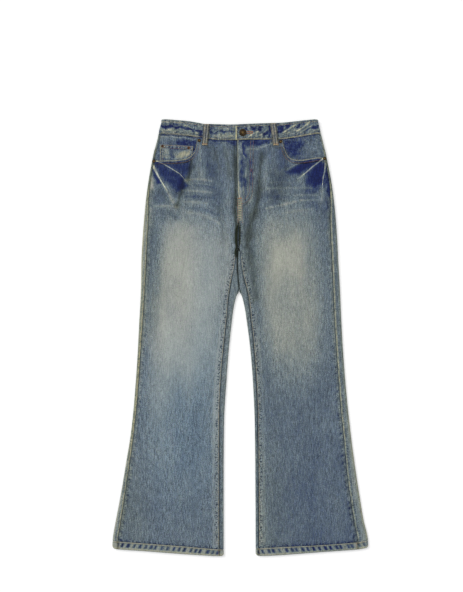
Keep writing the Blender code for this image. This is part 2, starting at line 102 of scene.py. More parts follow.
RIGHT_SIDE = Table("down outer outseam", [
    (8, -186, -182), (25, -190.5, -186.5), (49, -195.5, -191.5), (72, -202, -198),
    (96, -207.2, -203), (143, -215.6, -211.5), (190, -222.2, -215.5), (237, -226.7, -216.5),
    (284, -230.4, -219), (331, -232.8, -221), (401, -233.9, -225), (472, -237.7, -229.5),
    (566, -242.6, -236), (660, -249.5, -242.6), (707, -253.9, -247.3), (754, -259.8, -252.6),
    (801, -267.8, -259.3), (848, -275.5, -266.3), (895, -283.8, -273.4), (942, -292.7, -280.4),
    (989, -299.6, -287), (1012, -301, -288),
])
LEFT_SIDE = Table("down outer outseam", [
    (8, 183, 179), (25, 186.7, 182.7), (49, 192.8, 188.8), (72, 198.5, 194.5),
    (96, 203.6, 199.6), (143, 212.8, 208.7), (190, 219.6, 211.6), (237, 224.3, 211.5),
    (284, 227.6, 213.3), (331, 229.9, 215.6), (401, 233.9, 218.6), (472, 237, 221.6),
    (566, 242.6, 227.6), (660, 250.6, 234.4), (707, 255.6, 238.6), (754, 261, 243.6),
    (801, 267.3, 247.8), (848, 274.1, 252.8), (895, 281.4, 259.6), (942, 289.2, 266.5),
    (989, 298.4, 274.6), (1012, 300.6, 275.6),
])
RIGHT_INSIDE = Table("down inner", [
    (401, -3), (412, -8), (425, -12.1), (448, -16.8), (472, -19.9), (519, -25.3),
    (566, -29.5), (613, -32.7), (660, -36.1), (707, -38.4), (801, -39.6), (1012, -39.6),
])
LEFT_INSIDE = Table("down inner", [
    (401, -2.7), (412, 2), (425, 6), (448, 10.9), (472, 14.5), (519, 20.8),
    (566, 25.5), (613, 29.1), (660, 31.6), (707, 33.5), (801, 34.8), (1012, 36),
])
RIGHT_INSEAM = Table("down x", [
    (300, -4.6), (310, -8.6), (325, -10.4), (345, -13), (370, -18.6), (401, -24.5),
    (425, -28), (457, -30), (496, -34.4), (520, -36.9), (589, -43.4), (660, -47.6),
    (754, -49), (848, -49.2), (1012, -49.2),
])
LEFT_INSEAM = Table("down x", [
    (300, -4.3), (310, -0.8), (325, 0), (345, 1.6), (370, 6.6), (401, 14.5),
    (425, 18.9), (457, 22.4), (496, 26.9), (520, 29.5), (589, 34.8), (660, 38.8),
    (754, 40.6), (848, 41.4), (1012, 42.4),
])
CENTRE = Table("down x", [
    (40, -7.2), (49, -6.9), (171, -5.3), (190, -2.4), (237, -2.6), (260, -3.6), (300, -4.5),
    (331, -6.6), (371, -5.6), (401, -2.85),
])
TOP_SIDE = Table("down z", [
    (30, 6.1), (190, 6), (300, 5.5), (401, 4.9), (500, 4.6), (930, 4.6), (990, 5.1), (1012, 5.2),
])
BAND_EDGES = Table("x top bottom", [
    (-194, 2.5, 33), (-177, 0.5, 34.4), (-150, 2.3, 36.3), (-125, 4.4, 39), (-100, 8.4, 42.4),
    (-86, 11, 44.4), (-60, 11.6, 48.6), (-27, 12.6, 49.6), (4, 12, 48.4), (41, 10.2, 47.9),
    (69, 9.2, 47.6), (97, 8.4, 46.6), (132, 4.8, 41.8), (156, 2.2, 37.6), (176, 0.6, 34.4),
    (194, 2.5, 32.6),
])
RIGHT_MOUTH = Table("step x down", [
    (0, -101.5, 42.8), (1, -104.5, 61), (2, -107.6, 74.5), (3, -113.4, 83.6), (4, -121, 89.6),
    (5, -131, 93.6), (6, -154, 96.6), (7, -179, 97.2), (8, -203, 98.2),
])
LEFT_MOUTH = Table("step x down", [
    (0, 99, 46.8), (1, 102.2, 62.5), (2, 106.8, 76.6), (3, 112.7, 87.2), (4, 122, 94),
    (5, 139.5, 95.9), (6, 161.8, 93.2), (7, 180, 90.2), (8, 198.6, 91.2),
])
RIGHT_HEM = Table("x top bottom", [
    (-302, 990.6, 1007), (-292, 992, 1010.2), (-228, 996.8, 1014.8), (-144, 1003, 1021.3),
    (-90, 1007.8, 1024.8), (-64, 1010, 1026.4), (-39, 1011.6, 1026.4),
])
LEFT_HEM = Table("x top bottom", [
    (36, 1009, 1025), (50, 1008.2, 1026.2), (96, 1005.6, 1024.2), (187, 1001, 1017.4),
    (273, 994.4, 1011.2), (290, 991.4, 1008.6), (301, 989.6, 1005.6),
])
SIDES = {
    "right": (-1, RIGHT_SIDE, RIGHT_INSIDE, RIGHT_INSEAM, RIGHT_MOUTH, RIGHT_HEM),
    "left": (1, LEFT_SIDE, LEFT_INSIDE, LEFT_INSEAM, LEFT_MOUTH, LEFT_HEM),
}

# Outlines on the fronts within which the dye stayed, below 0, or wore off, and how soft they end.
FRONT_SHAPES = (
    (-0.3, 9, ((-198.5, 101.8), (-160.9, 102.9), (-120.9, 99.4), (-116.2, 114.7), (-123.3, 131.1),
        (-135, 133.5), (-149.1, 121.7), (-170.3, 111.2))),
    (-0.34, 9, ((-204.3, 102.9), (-189.1, 107.6), (-170.3, 115.9), (-151.5, 126.4), (-135, 139.4),
        (-126.8, 152.3), (-128, 166.4), (-146.8, 168.7), (-160.9, 159.3), (-177.3, 142.9),
        (-191.4, 128.8))),
    (-0.14, 9, ((-150, 128), (-130, 134), (-128, 152), (-142, 158))),
    (0.09, 5, ((-189.1, 117), (-165.6, 131.1), (-146.8, 138.2), (-156.2, 145.2), (-175, 138.2))),
    (-0.16, 8, ((-160.9, 161.7), (-137.4, 164), (-142.1, 187.5), (-156.2, 185.2))),
    (-0.38, 4, ((-209, 107.6), (-200.8, 119.4), (-192.6, 138.2), (-184.4, 152.3), (-193.8, 151.1),
        (-203.2, 138.2), (-210.2, 121.7))),
    (0.2, 6, ((-219.6, 124.1), (-207.9, 128.8), (-200.8, 166.4), (-219.6, 171.1))),
    (0.12, 9, ((-106.8, 77.1), (-83.3, 77.1), (-81, 138.2), (-104.5, 138.2))),
    (-0.12, 9, ((-81, 105.3), (-59.8, 105.3), (-57.5, 138.2), (-78.6, 138.2))),
    (0.1, 8, ((-36.3, 63), (-22.2, 72.4), (-22.2, 201.6), (-36.3, 201.6))),
    (-0.08, 10, ((-66.9, 152.3), (-43.4, 157), (-45.7, 204), (-62.2, 204))),
    (0.09, 8, ((-198.5, 201.6), (-175, 201.6), (-165.6, 208.7), (-196.1, 211))),
    (-0.08, 10, ((-128, 175.8), (-83.3, 178.1), (-85.7, 189.9), (-123.3, 187.5))),
    (-0.08, 12, ((-212.6, 161.7), (-182, 166.4), (-177.3, 194.6), (-212.6, 199.3))),
    (-0.07, 12, ((-189.1, 218.1), (-142.1, 218.1), (-146.8, 236.9), (-189.1, 241.6))),
    (-0.36, 8, ((186.9, 95.9), (147, 99.4), (128.2, 112.3), (107, 122.9), (114.1, 130),
        (139.9, 128.8), (161.1, 115.9))),
    (-0.42, 11, ((185.8, 100.6), (196, 107.6), (198, 133.5), (194.3, 152.6), (178.2, 161.2),
        (158, 155.7), (154.9, 140.9), (157.2, 130.1), (170.5, 112.7))),
    (-0.34, 4, ((201, 105.3), (205.7, 119.4), (210.4, 142.9), (212.8, 166.4), (208.1, 185.2),
        (203.4, 171.1), (201, 133.5))),
    (-0.16, 6, ((147, 164), (182.2, 162.9), (179.9, 175.8), (147, 178.1))),
    (-0.11, 6, ((139.9, 182.8), (172.8, 181.7), (170.5, 188.7), (142.3, 189.9))),
    (-0.11, 7, ((149.3, 194.6), (182.2, 192.2), (179.9, 208.7), (151.7, 211))),
    (0.12, 8, ((130.5, 128.8), (149.3, 131.1), (147, 154.6), (132.9, 152.3))),
    (0.1, 8, ((179.9, 161.7), (198.7, 161.7), (198.7, 201.6), (182.2, 201.6))),
    (0.12, 8, ((50.6, 91.2), (64.7, 91.2), (64.7, 171.1), (50.6, 166.4))),
    (-0.11, 9, ((74.1, 128.8), (107, 128.8), (104.7, 157), (76.5, 157))),
    (-0.1, 9, ((71.8, 161.7), (95.3, 166.4), (92.9, 204), (74.1, 204))),
    (-0.13, 9, ((83.5, 63), (102.3, 67.7), (114.1, 114.7), (85.9, 119.4))),
    (-0.3, 4, ((7.2, 51.2), (69.4, 51.2), (71.8, 55.5), (41.2, 61.5), (13, 63.5), (8.3, 60))),
    (-0.08, 6, ((0.1, 79.4), (8.3, 74.7), (27.1, 86.5), (28.3, 138.2), (15.4, 159.3), (2.5, 159.3),
        (-1.1, 124.1))),
    (-0.2, 4, ((3, 96), (9.5, 92), (11, 118), (7, 134), (1.5, 122))),
    (-0.18, 4, ((5, 138), (13, 136), (14, 156), (6, 159))),
    (-0.2, 3, ((20, 100), (25, 98), (26, 122), (21, 126))),
    (-0.16, 3, ((21, 134), (26.5, 130), (27, 156), (22, 158))),
    (0.14, 4, ((10, 120), (18, 118), (17, 136), (8, 136))),
    (0.16, 2.4, ((4, 100), (7, 98), (8, 118), (5, 124))),
    (0.14, 2.4, ((19, 78), (25, 78), (26, 92), (20, 94))),
    (-0.34, 2, ((4.6, 55.9), (8.8, 55.9), (9.8, 77.1), (11.6, 88.8), (7.4, 84.1), (4.3, 72.4))),
    (-0.3, 4, ((-29.3, 51.2), (-10.5, 51.2), (-10.5, 64.2), (-19.9, 61.8))),
    (-0.2, 3, ((-73.9, 53.6), (-43.4, 54.8), (-43.4, 58.3), (-73.9, 57.1))),
    (0.08, 3, ((31.8, 107.6), (37.7, 107.6), (36.5, 166.4), (28.3, 196.9), (28.3, 161.7))),
    (0.1, 2.5, ((-4.3, 63), (0.4, 58.3), (1.3, 119.4), (-3.4, 157))),
    (0.16, 3, ((-6.5, 148), (0.5, 152), (2.5, 186), (-6.5, 186))),
    (-0.16, 5, ((184.6, 95.9), (201, 98.2), (203.4, 124.1), (191.6, 135.8))),
)
# Bands of wear across the fronts: whiskers and worn folds. Each runs from one end by way of a middle point.
FRONT_LINES = Table("x0 down0 x1 down1 x2 down2 half_width wear", [
    (-182, 153.5, -170.3, 173.4, -158.5, 195.8, 3.6, 0.26),
    (-175, 152.3, -165.6, 171.1, -152.6, 192.2, 2.2, 0.12),
    (-135, 138.2, -125.6, 147.6, -109.2, 159.3, 3, 0.14),
    (147, 131.1, 137.6, 140.5, 132.9, 147.6, 3.4, 0.1),
    (192.8, 152.3, 192.8, 168.7, 190.5, 189.9, 4, 0.16),
    (137.6, 103.6, 123.5, 110, 108.2, 119.4, 1.9, 0.3),
    (42.4, 67.2, 57.7, 63.4, 75.3, 55.9, 1.9, 0.36),
    (13, 71.9, 27.1, 70, 43.6, 70.7, 2.2, 0.26),
    (1.8, 57.1, 2.5, 72.4, 4.1, 80.6, 1.7, 0.34),
    (4.1, 80.6, 7.2, 86.5, 11.2, 90.7, 1.7, 0.3),
    (-96.2, 58.3, -95.1, 72.4, -93.9, 98.2, 2.6, 0.26),
    (-66.9, 54.5, -43.4, 55.5, -19.9, 53.6, 1.6, 0.16),
    (17.7, 95.9, 18.7, 124.1, 18.2, 157, 1.6, 0.16),
    (-130.3, 144.1, -99.8, 141.2, -66.9, 146.4, 3.6, 0.24),
    (-137.4, 167.6, -104.5, 169.2, -66.9, 172.3, 3.2, 0.22),
    (-135, 192.2, -106.8, 195, -78.6, 196.9, 3.4, 0.19),
    (-203.2, 205.2, -177.3, 203.5, -146.8, 206.8, 3.4, 0.18),
    (-123.3, 219.3, -85.7, 226.3, -48.1, 246.3, 4.8, 0.12),
    (28, 178, 24.4, 190, 12.5, 206, 1.5, 0.3),
    (-104.5, 151.1, -85.7, 152.7, -62.2, 158.2, 2, 0.12),
    (-128, 157, -95.1, 156.5, -62.2, 159.3, 4, -0.11),
    (-128, 181.7, -99.8, 182.8, -62.2, 185.2, 5, -0.12),
    (-128, 208.7, -90.4, 212.2, -52.8, 225.1, 5, -0.13),
    (-170.3, 218.1, -160.9, 225.1, -146.8, 232.2, 7, -0.1),
    (64.7, 162.9, 116.4, 161.7, 168.1, 162.1, 3.2, 0.15),
    (60, 209.9, 107, 199.3, 144.6, 189.9, 3, 0.24),
    (125.8, 179.3, 154, 178.1, 182.2, 178.6, 2.4, 0.17),
    (139.9, 191.3, 158.7, 189.9, 182.2, 189.4, 2.6, 0.18),
    (97.6, 221.6, 130.5, 215.7, 168.1, 211, 4, 0.12),
    (64.7, 180.5, 83.5, 182.8, 111.7, 182.8, 6, -0.1),
    (69.4, 149.9, 92.9, 147.6, 121.1, 149.9, 2.4, 0.1),
    (-4, 56, -3, 80, -2, 98, 1.8, 0.2),
    (9.5, 100, 12.5, 118, 12, 140, 1.4, 0.24),
    (-2, 160, 1, 174, 2.5, 188, 1.3, 0.22),
    (6.5, 160, 7, 176, 8, 196, 1.3, 0.22),
    (17, 160, 17.5, 172, 15, 186, 1.3, 0.22),
    (1.5, 98, 0.5, 120, 2, 160, 1.7, -0.22),
    (12, 158, 12.5, 174, 11.5, 190, 1.5, -0.22),
    (27.5, 118, 29.5, 140, 28.5, 160, 1.5, -0.18),
    (20.5, 100, 21, 120, 20, 150, 1.3, 0.14),
])
# Pale rays of rubbed cloth that fan out from the outer ends of the pockets: points, side and half widths.
RAYS = (
    (((-208.8, 101.8), (-199.6, 121.7), (-190.2, 139.4), (-180.8, 154.6), (-172.6, 167.6)),
     1, (2.3, 1.3, 0.2)),
    (((-198.5, 97.8), (-182, 104.8), (-160.9, 117), (-142.1, 128.8), (-132.7, 139.4)), -1, (0.6, 0.8, 0.3)),
    (((194, 92.6), (182.2, 102), (168.1, 112.8), (154, 125.5), (141.1, 135.4)), 1, (0.9, 1.1, 0.3)),
    (((197.8, 93.1), (199.6, 105.3), (197.8, 121.7), (194, 138.2), (192.6, 153.5)), -1, (1.1, 1.2, 0.4)),
)
# Painted shade on the fronts: creases darker than their dye makes them, shadow under the edges of the pocket
# mouths, beside the belt loops and the fly, and in the slit below it.
FRONT_SHADES = Table("x0 down0 x1 down1 x2 down2 half_width shade", [
    (50.6, 81.8, 45.2, 124.1, 44.6, 170, 8, 0.62),
    (44.8, 161.7, 37.5, 204, 27.1, 236.9, 10.5, 0.68),
    (28, 228, 20, 265.1, 15, 300, 13, 0.62),
    (17, 292, 27, 349.7, 36.5, 420.2, 12, 0.42),
    (21.3, 186, 15.4, 196.5, 8.3, 204, 2.4, 0.5),
    (-14, 63, -12.8, 131.1, -12.3, 204, 4.6, 0.8),
    (-21, 72.4, -18.7, 100.6, -17.5, 142.9, 4, 0.34),
    (-12.8, 204, -10.5, 241.6, -9, 288.6, 6.5, 0.85),
    (-50.4, 208.7, -43.4, 246.3, -41, 288.6, 9, 0.26),
    (-64.5, 63, -55.1, 91.2, -48.1, 114.7, 5.5, 0.34),
    (-38, 66, -31, 92, -25, 132, 7.5, 0.36),
    (-115, 95.9, -118.6, 119.4, -123.3, 142.9, 7, 0.7),
    (-133.8, 145.2, -139.7, 171.1, -149.1, 204, 7.5, 0.6),
    (-189.1, 166.4, -179.7, 180.5, -165.6, 196.9, 8, 0.21),
    (97.6, 67.7, 104.7, 86.5, 107, 114.7, 7, 0.35),
    (-177.3, 102, -146.8, 103.4, -118.6, 100.1, 1.6, 0.7),
    (130.5, 102.9, 154, 103.6, 182.2, 99.6, 1.6, 0.63),
    (-80.3, 48.9, -79.5, 64.9, -68, 65.8, 2, 0.61),
    (74.6, 51.2, 76.5, 65.3, 94.1, 66.5, 2, 0.61),
    (16.3, 72.4, 17.3, 114.7, 16.8, 166.4, 2.2, 0.35),
    (-205.5, 166.4, -205.5, 225.1, -209, 283.9, 5, 0.18),
    (203.4, 189.9, 208.1, 225.1, 210.4, 283.9, 5, 0.21),
])
# Broader patches of painted shade on the fronts.
SHADE_SHAPES = (
    (0.1, 14, ((-81, 142.9), (-38.7, 152.3), (-34, 222.8), (-76.3, 208.7))),
    (0.26, 14, ((69.4, 118.1), (111.7, 118.1), (107, 190.6), (69.4, 196.6))),
    (0.16, 10, ((-81, 72.4), (-57.5, 72.4), (-48.1, 138.2), (-76.3, 138.2))),
    (0.16, 12, ((-184.4, 208.7), (-146.8, 208.7), (-151.5, 236.9), (-189.1, 232.2))),
)
# Outlines of stayed dye and wear on the front of the waistband.
WAIST_SHAPES = (
    (-0.36, 2, ((-187.9, 16.7), (-170.3, 14.3), (-151.5, 16.4), (-128, 18.8), (-104.5, 24.9),
        (-92.7, 28.9), (-92.7, 34.8), (-109.2, 28.9), (-132.7, 23), (-160.9, 20.7), (-184.4, 21.9))),
    (-0.2, 2, ((-170.3, 9.6), (-142.1, 11.3), (-142.1, 14.3), (-167.9, 13.6))),
    (-0.28, 2, ((-97.4, 30.1), (-86.8, 25.4), (-86.8, 51.2), (-95.1, 46.5))),
    (-0.3, 2, ((-72.7, 16), (-66.9, 16), (-64.5, 27.7), (-70.4, 51.2), (-72.7, 48.9))),
    (-0.28, 1.6, ((-66.9, 29.6), (-43.4, 27.3), (-17.5, 27.3), (-17.5, 30.8), (-48.1, 31.3),
        (-64.5, 34.8))),
    (-0.22, 2, ((-64.5, 14.8), (-52.8, 17.2), (-55.1, 24.2), (-64.5, 21.9))),
    (-0.14, 2, ((-38.7, 14.8), (-19.9, 16), (-22.2, 23), (-36.3, 21.9))),
    (-0.28, 2, ((7.2, 17.9), (15.4, 19), (14.2, 27.7), (10.7, 24.2))),
    (-0.26, 2, ((26, 18.3), (36.5, 19), (33, 26.6), (24.8, 25.4))),
    (-0.28, 2, ((40.1, 18.3), (51.8, 19.5), (50.6, 27.7), (42.4, 28.9))),
    (-0.28, 2, ((50.6, 32), (64.7, 27.3), (64.7, 40.7), (53, 39.5))),
    (-0.3, 1.6, ((65.4, 16), (71.3, 16), (73, 46.5), (67.1, 44.2))),
    (-0.3, 2.5, ((87.1, 14.8), (101.2, 17.2), (100, 28.9), (88.2, 36))),
    (-0.26, 2, ((104.7, 12), (118.8, 11.3), (114.1, 20.7), (105.9, 24.2))),
    (-0.26, 2, ((134.1, 14.8), (147, 10.1), (141.1, 19.5), (132.9, 23))),
    (-0.24, 2, ((149.3, 27.7), (163.4, 19.5), (161.1, 26.6), (151.7, 33.6))),
    (-0.28, 2, ((165.8, 16.7), (182.2, 15.5), (183.4, 22.1), (165.8, 23))),
    (0.14, 3, ((-182, 24.2), (-153.8, 24.9), (-151.5, 30.8), (-182, 28.9))),
    (0.12, 3, ((-52.8, 34.8), (-19.9, 34.8), (-17.5, 41.8), (-50.4, 41.8))),
)
# Pale streaks on the waistband.
WAIST_LINES = Table("x0 down0 x1 down1 x2 down2 half_width wear", [
    (-131.5, 14.3, -116.2, 20.7, -100.9, 34.8, 1.6, 0.34),
    (-62.2, 24.2, -48.1, 22.1, -26.9, 22.8, 1.6, 0.18),
    (18.9, 42.5, 29.5, 34.8, 42.4, 28.4, 1.6, 0.34),
    (44.8, 39, 54.2, 32.4, 65.9, 24.2, 1.6, 0.32),
    (33.7, 44.2, 36.5, 38.3, 40.1, 32.4, 1.2, 0.2),
    (17.7, 21.9, 21.3, 27.7, 23.6, 32.4, 1.2, 0.2),
    (100.7, 32.4, 112.9, 23.7, 129.4, 13.6, 2, 0.4),
    (132.4, 28.4, 148.2, 19, 162.3, 6.1, 2, 0.4),
    (141.1, 32.2, 154, 23.5, 170.5, 14.1, 1.5, 0.26),
    (-182, 8, -160.9, 7.5, -137.4, 9.4, 1.6, 0.14),
    (107, 33.6, 121.1, 28.9, 130.5, 24.2, 1.4, 0.16),
    (-128, 33.8, -118.6, 36.2, -109.2, 39.5, 1.4, 0.16),
    (-48.1, 18.3, -38.7, 25.4, -29.3, 33.8, 1.3, 0.14),
    (165.8, 29.6, 174, 27.7, 182.2, 25.8, 1.6, 0.16),
])
# Outlines of stayed dye and wear on the cloth in the pocket mouths.
FACING_SHAPES = (
    (-0.22, 5, ((-151.5, 46.5), (-118.6, 48.9), (-102.1, 51.2), (-106.8, 72.4), (-116.2, 86.5),
        (-128, 72.4), (-146.8, 60.6))),
    (0.16, 6, ((-203.2, 37.1), (-151.5, 39.5), (-142.1, 51.2), (-198.5, 53.6))),
    (0.12, 3, ((-205.5, 53.6), (-193.8, 53.6), (-196.1, 91.2), (-210.2, 91.2))),
    (-0.2, 6, ((100, 51.2), (139.9, 50.1), (151.7, 55.9), (147, 67.7), (132.9, 79.4),
        (118.8, 84.1), (107, 72.4))),
    (0.1, 8, ((151.7, 46.5), (184.6, 44.2), (191.6, 88.8), (144.6, 91.2), (139.9, 77.1))),
    (-0.1, 3, ((111.7, 84.1), (135.2, 77.1), (154, 72.4), (144.6, 81.8), (121.1, 91.2))),
)
# The same on the coin pocket.
COIN_SHAPES = (
    (0.17, 4, ((-160.9, 79.4), (-142.1, 73.6), (-118.6, 68.9), (-118.6, 84.1), (-137.4, 93.5),
        (-158.5, 91.2))),
    (0.16, 4, ((-154, 84), (-128, 76), (-118.6, 80), (-130, 94), (-152, 94))),
    (0.14, 3, ((-146.8, 79.4), (-123.3, 72.4), (-120.9, 79.4), (-139.7, 91.2))),
    (0.26, 3, ((-189.5, 64), (-166.7, 66), (-166.7, 91.2), (-186, 91.2))),
    (-0.2, 1.6, ((-175, 79.4), (-171.4, 79.4), (-171.4, 84.1), (-175, 84.1))),
    (-0.16, 1.4, ((-163.2, 77.1), (-157.3, 77.1), (-156.2, 91.2), (-162, 91.2))),
    (-0.22, 1.2, ((-186.7, 70), (-183.7, 70), (-183.7, 91.2), (-186.7, 91.2))),
    (0.16, 1.6, ((-125.6, 70), (-115, 70), (-116.2, 88.8), (-125.6, 88.8))),
    (-0.14, 1.4, ((-129.1, 72.4), (-125.6, 72.4), (-128, 88.8), (-131.2, 88.8))),
)
# Softer patches: places where the dye stayed, below 0, or wore off.
FRONT_PATCHES = Table("x down half_width half_length soft wear", [
    (-128, 425, 70, 205, 0.42, 0.27),
    (-140, 300, 50, 66, 0.6, 0.07),
    (128, 405, 64, 190, 0.45, 0.27),
    (140, 308, 46, 60, 0.6, 0.04),
    (-205, 335, 17, 110, 0.8, -0.11),
    (-189, 320, 14, 62, 0.8, -0.05),
    (-48, 335, 24, 88, 0.6, 0.17),
    (-30, 262, 9, 60, 0.8, 0.08),
    (-189, 590, 28, 115, 0.7, 0.13),
    (-194, 735, 30, 100, 0.8, 0.08),
    (-120, 760, 60, 120, 0.8, 0.04),
    (66, 312, 28, 92, 0.6, 0.18),
    (112, 320, 22, 50, 0.8, 0.07),
    (178, 335, 24, 95, 0.7, -0.08),
    (160, 800, 30, 170, 0.8, -0.03),
    (-212, 190, 16, 70, 0.7, 0.12),
    (58, 470, 22, 60, 0.8, 0.09),
    (60, 940, 24, 90, 0.8, 0.07),
    (-58, 640, 20, 140, 0.8, 0.07),
    (-60, 1000, 20, 40, 0.8, 0.07),
    (205, 175, 16, 55, 0.8, -0.1),
    (-95, 96, 20, 20, 0.8, -0.13),
    (-130, 412, 30, 42, 0.8, 0.06),
    (-132, 312, 26, 30, 0.8, -0.06),
    (93, 275, 22, 22, 0.8, -0.06),
    (-110, 232, 26, 16, 0.8, -0.05),
])
# Places that are warmer, above 0, or cooler than their dye makes them.
FRONT_CASTS = Table("x down half_width half_length soft warmth", [
    (110, 400, 95, 240, 0.6, 0.2),
    (66, 960, 40, 190, 0.8, 0.28),
    (18, 250, 24, 150, 0.7, 0.25),
    (-130, 150, 34, 60, 0.7, 0.22),
    (-210, 400, 26, 140, 0.8, 0.22),
    (-258, 920, 42, 90, 0.8, 0.25),
    (-150, 360, 50, 110, 0.8, 0.08),
    (-136, 700, 84, 180, 0.7, -0.42),
    (-78, 430, 34, 170, 0.8, -0.3),
])
LEG_WEAR = Table("down wear", [
    (40, 0.37), (110, 0.38), (190, 0.42), (250, 0.47), (330, 0.49), (430, 0.5), (520, 0.5),
    (620, 0.48), (700, 0.465), (780, 0.455), (860, 0.44), (930, 0.43), (1012, 0.43),
])
LEFT_LEG_TINT = -0.075  # the wearer's left leg is a little darker

# Soft folds of the upper side: where they lie, how they run and how far they stand up.
FOLDS = Table("x down angle half_length half_width height", [
    (-150, 880, 4, 190, 30, 1.8), (-75, 930, -3, 150, 22, 1.5), (-235, 840, 12, 130, 20, 1.2),
    (-180, 640, 5, 160, 26, 1.2), (-95, 620, -2, 170, 24, 1), (-140, 400, 0, 150, 34, 1.6),
    (110, 900, -4, 180, 28, 1.8), (205, 900, -9, 150, 24, 1.5), (70, 780, 2, 120, 18, 1),
    (150, 640, -4, 170, 28, 1.2), (90, 560, 3, 120, 20, 1), (145, 380, 0, 150, 32, 1.6),
    (-60, 330, 12, 60, 12, 1.2), (-35, 290, 22, 45, 7, 1), (-60, 380, 30, 40, 8, 0.9),
    (44, 330, -14, 60, 10, 1.2), (66, 390, -28, 44, 9, 0.9), (28, 370, -20, 36, 7, 0.8),
    (42, 150, 6, 75, 8, -2), (26, 262, 9, 85, 8, -2.3), (-12, 150, 0, 85, 5, -1.2),
    (-10, 215, 0, 50, 7, -1.4),
    (-35, 150, 1, 80, 12, 1.1), (62, 150, -2, 80, 12, 1.2), (-96, 110, 0, 50, 14, 0.9),
    (-66, 96, -5, 30, 8, -0.8),
    (-112, 190, 8, 40, 16, -0.9), (100, 130, 0, 50, 18, -0.8), (8, 240, 4, 60, 6, 0.9),
    (-42, 262, 5, 25, 10, -1), (-120, 700, 60, 60, 12, -0.6), (150, 705, -62, 60, 12, -0.6),
    (-200, 520, 70, 50, 12, -0.5), (190, 520, -66, 50, 12, -0.5), (-90, 760, 66, 50, 10, 0.6),
    (100, 690, -70, 50, 10, 0.6), (-190, 780, 30, 60, 10, -0.6), (200, 760, -30, 60, 10, -0.6),
])
UNDER_FOLDS = Table("x down angle half_length half_width height", [
    (-120, 345, 80, 80, 9, 0.9), (115, 350, -80, 80, 9, 0.9), (-130, 372, 84, 70, 8, 0.7),
    (120, 378, -84, 70, 8, 0.7), (-140, 640, 88, 60, 12, 0.8), (140, 650, -86, 60, 12, 0.8),
    (-150, 680, 80, 50, 10, 0.6), (150, 690, -80, 50, 10, 0.6), (-170, 860, 6, 120, 14, 0.8),
    (170, 870, -6, 120, 14, 0.8),
])


# ---- small helpers


def mix(a, b, t):
    return a + (b - a) * t


def ease(t):
    t = np.clip(t, 0, 1)
    return t * t * (3 - 2 * t)


def near(distance, width, power=2):
    """1 on a line, falling softly to almost nothing at twice the width."""
    return np.exp(-((distance / width) ** power))


def bump_of(distance, half_width):
    """1 on a line, falling softly to nearly 0 at about twice the half width."""
    return np.exp(-((distance / half_width) ** 2) * 1.1)


def spread(count, length):
    """Shares from 0 to 1, closer at both ends so that the edge can be rounded."""
    rim, body = 0.45 / length, 1.3 / length
    return np.concatenate([[0, rim], np.linspace(body, 1 - body, count - 4), [1 - rim, 1]])


def even(length, cell=CELL):
    return spread(max(int(round(length / cell)), 2) + 5, length)


def edge_drop(distance, depth=0.45, reach=1.4):
    return depth * np.clip(1 - distance / reach, 0, 1) ** 2


def to_segment(x, down, a, b):
    """Distance to the straight line between two points, and the share of the way along it."""
    wx, wd = b[0] - a[0], b[1] - a[1]
    t = np.clip(((x - a[0]) * wx + (down - a[1]) * wd) / (wx * wx + wd * wd), 0, 1)
    return np.hypot(x - a[0] - wx * t, down - a[1] - wd * t), t


def line_distance(x, down, ends):
    """Distance to a bent line through three points, and the share of the way along it."""
    best = np.full(np.shape(x), 1e9)
    along = np.zeros(np.shape(x))
    start, middle, end = np.array(ends)
    control = 2 * middle - (start + end) / 2
    points = [(1 - t) ** 2 * start + 2 * t * (1 - t) * control + t * t * end for t in np.linspace(0, 1, 9)]
    for index, (a, b) in enumerate(zip(points, points[1:])):
        distance, t = to_segment(x, down, a, b)
        closer = distance < best
        along = np.where(closer, (index + t) / 8, along)
        best = np.where(closer, distance, best)
    return best, along


def within(x, down, xs, downs, margin):
    """Which places lie in the rectangle of some points, or in a margin round it."""
    return ((x > min(xs) - margin) & (x < max(xs) + margin)
            & (down > min(downs) - margin) & (down < max(downs) + margin))


def add_lines(field, x, down, table, join=np.add):
    for x0, d0, x1, d1, x2, d2, half_width, amount in table.data:
        part = within(x, down, (x0, x1, x2), (d0, d1, d2), half_width * 3)
        if part.any():
            distance, along = line_distance(x[part], down[part], ((x0, d0), (x1, d1), (x2, d2)))
            swell = 0.75 + 0.25 * np.sin(along * 9 + x0)
            field[part] = join(field[part], amount * bump_of(distance, half_width * swell))
    return field


def ray_reach(x, down):
    """Distance to the nearest ray in its own half widths, below 0 on the side away from its neighbour."""
    best, signed = np.full(np.shape(x), 1e9), np.full(np.shape(x), 60.0)
    for points, side, widths in RAYS:
        for index, (a, b) in enumerate(zip(points, points[1:])):
            distance, t = to_segment(x, down, a, b)
            turn = (x - a[0]) * (b[1] - a[1]) - (down - a[1]) * (b[0] - a[0])
            way = np.where(turn > 0, side, -side)
            share = (index + t) / (len(points) - 1)
            half_width = np.interp(share, (0, 0.5, 1), widths)
            closer = distance < best
            signed = np.where(closer, way * distance / half_width, signed)
            best = np.where(closer, distance, best)
    return np.clip(signed, -60, 60)


def add_patches(field, x, down, table):
    for px, pd, half_width, half_length, soft, amount in table.data:
        r = (np.abs((x - px) / half_width) ** 2.4 + np.abs((down - pd) / half_length) ** 2.4) ** (1 / 2.4)
        field += amount * (1 - ease((r - 1 + soft) / (2 * soft)))
    return field


def outline_distance(x, down, points):
    """Distance to a closed outline, below 0 inside it."""
    best = np.full(np.shape(x), 1e9)
    inside = np.zeros(np.shape(x), bool)
    for a, b in zip(points, points[1:] + points[:1]):
        best = np.minimum(best, to_segment(x, down, a, b)[0])
        if a[1] != b[1]:
            crossing = a[0] + (down - a[1]) / (b[1] - a[1]) * (b[0] - a[0])
            inside ^= ((a[1] > down) != (b[1] > down)) & (x < crossing)
    return np.where(inside, -best, best)


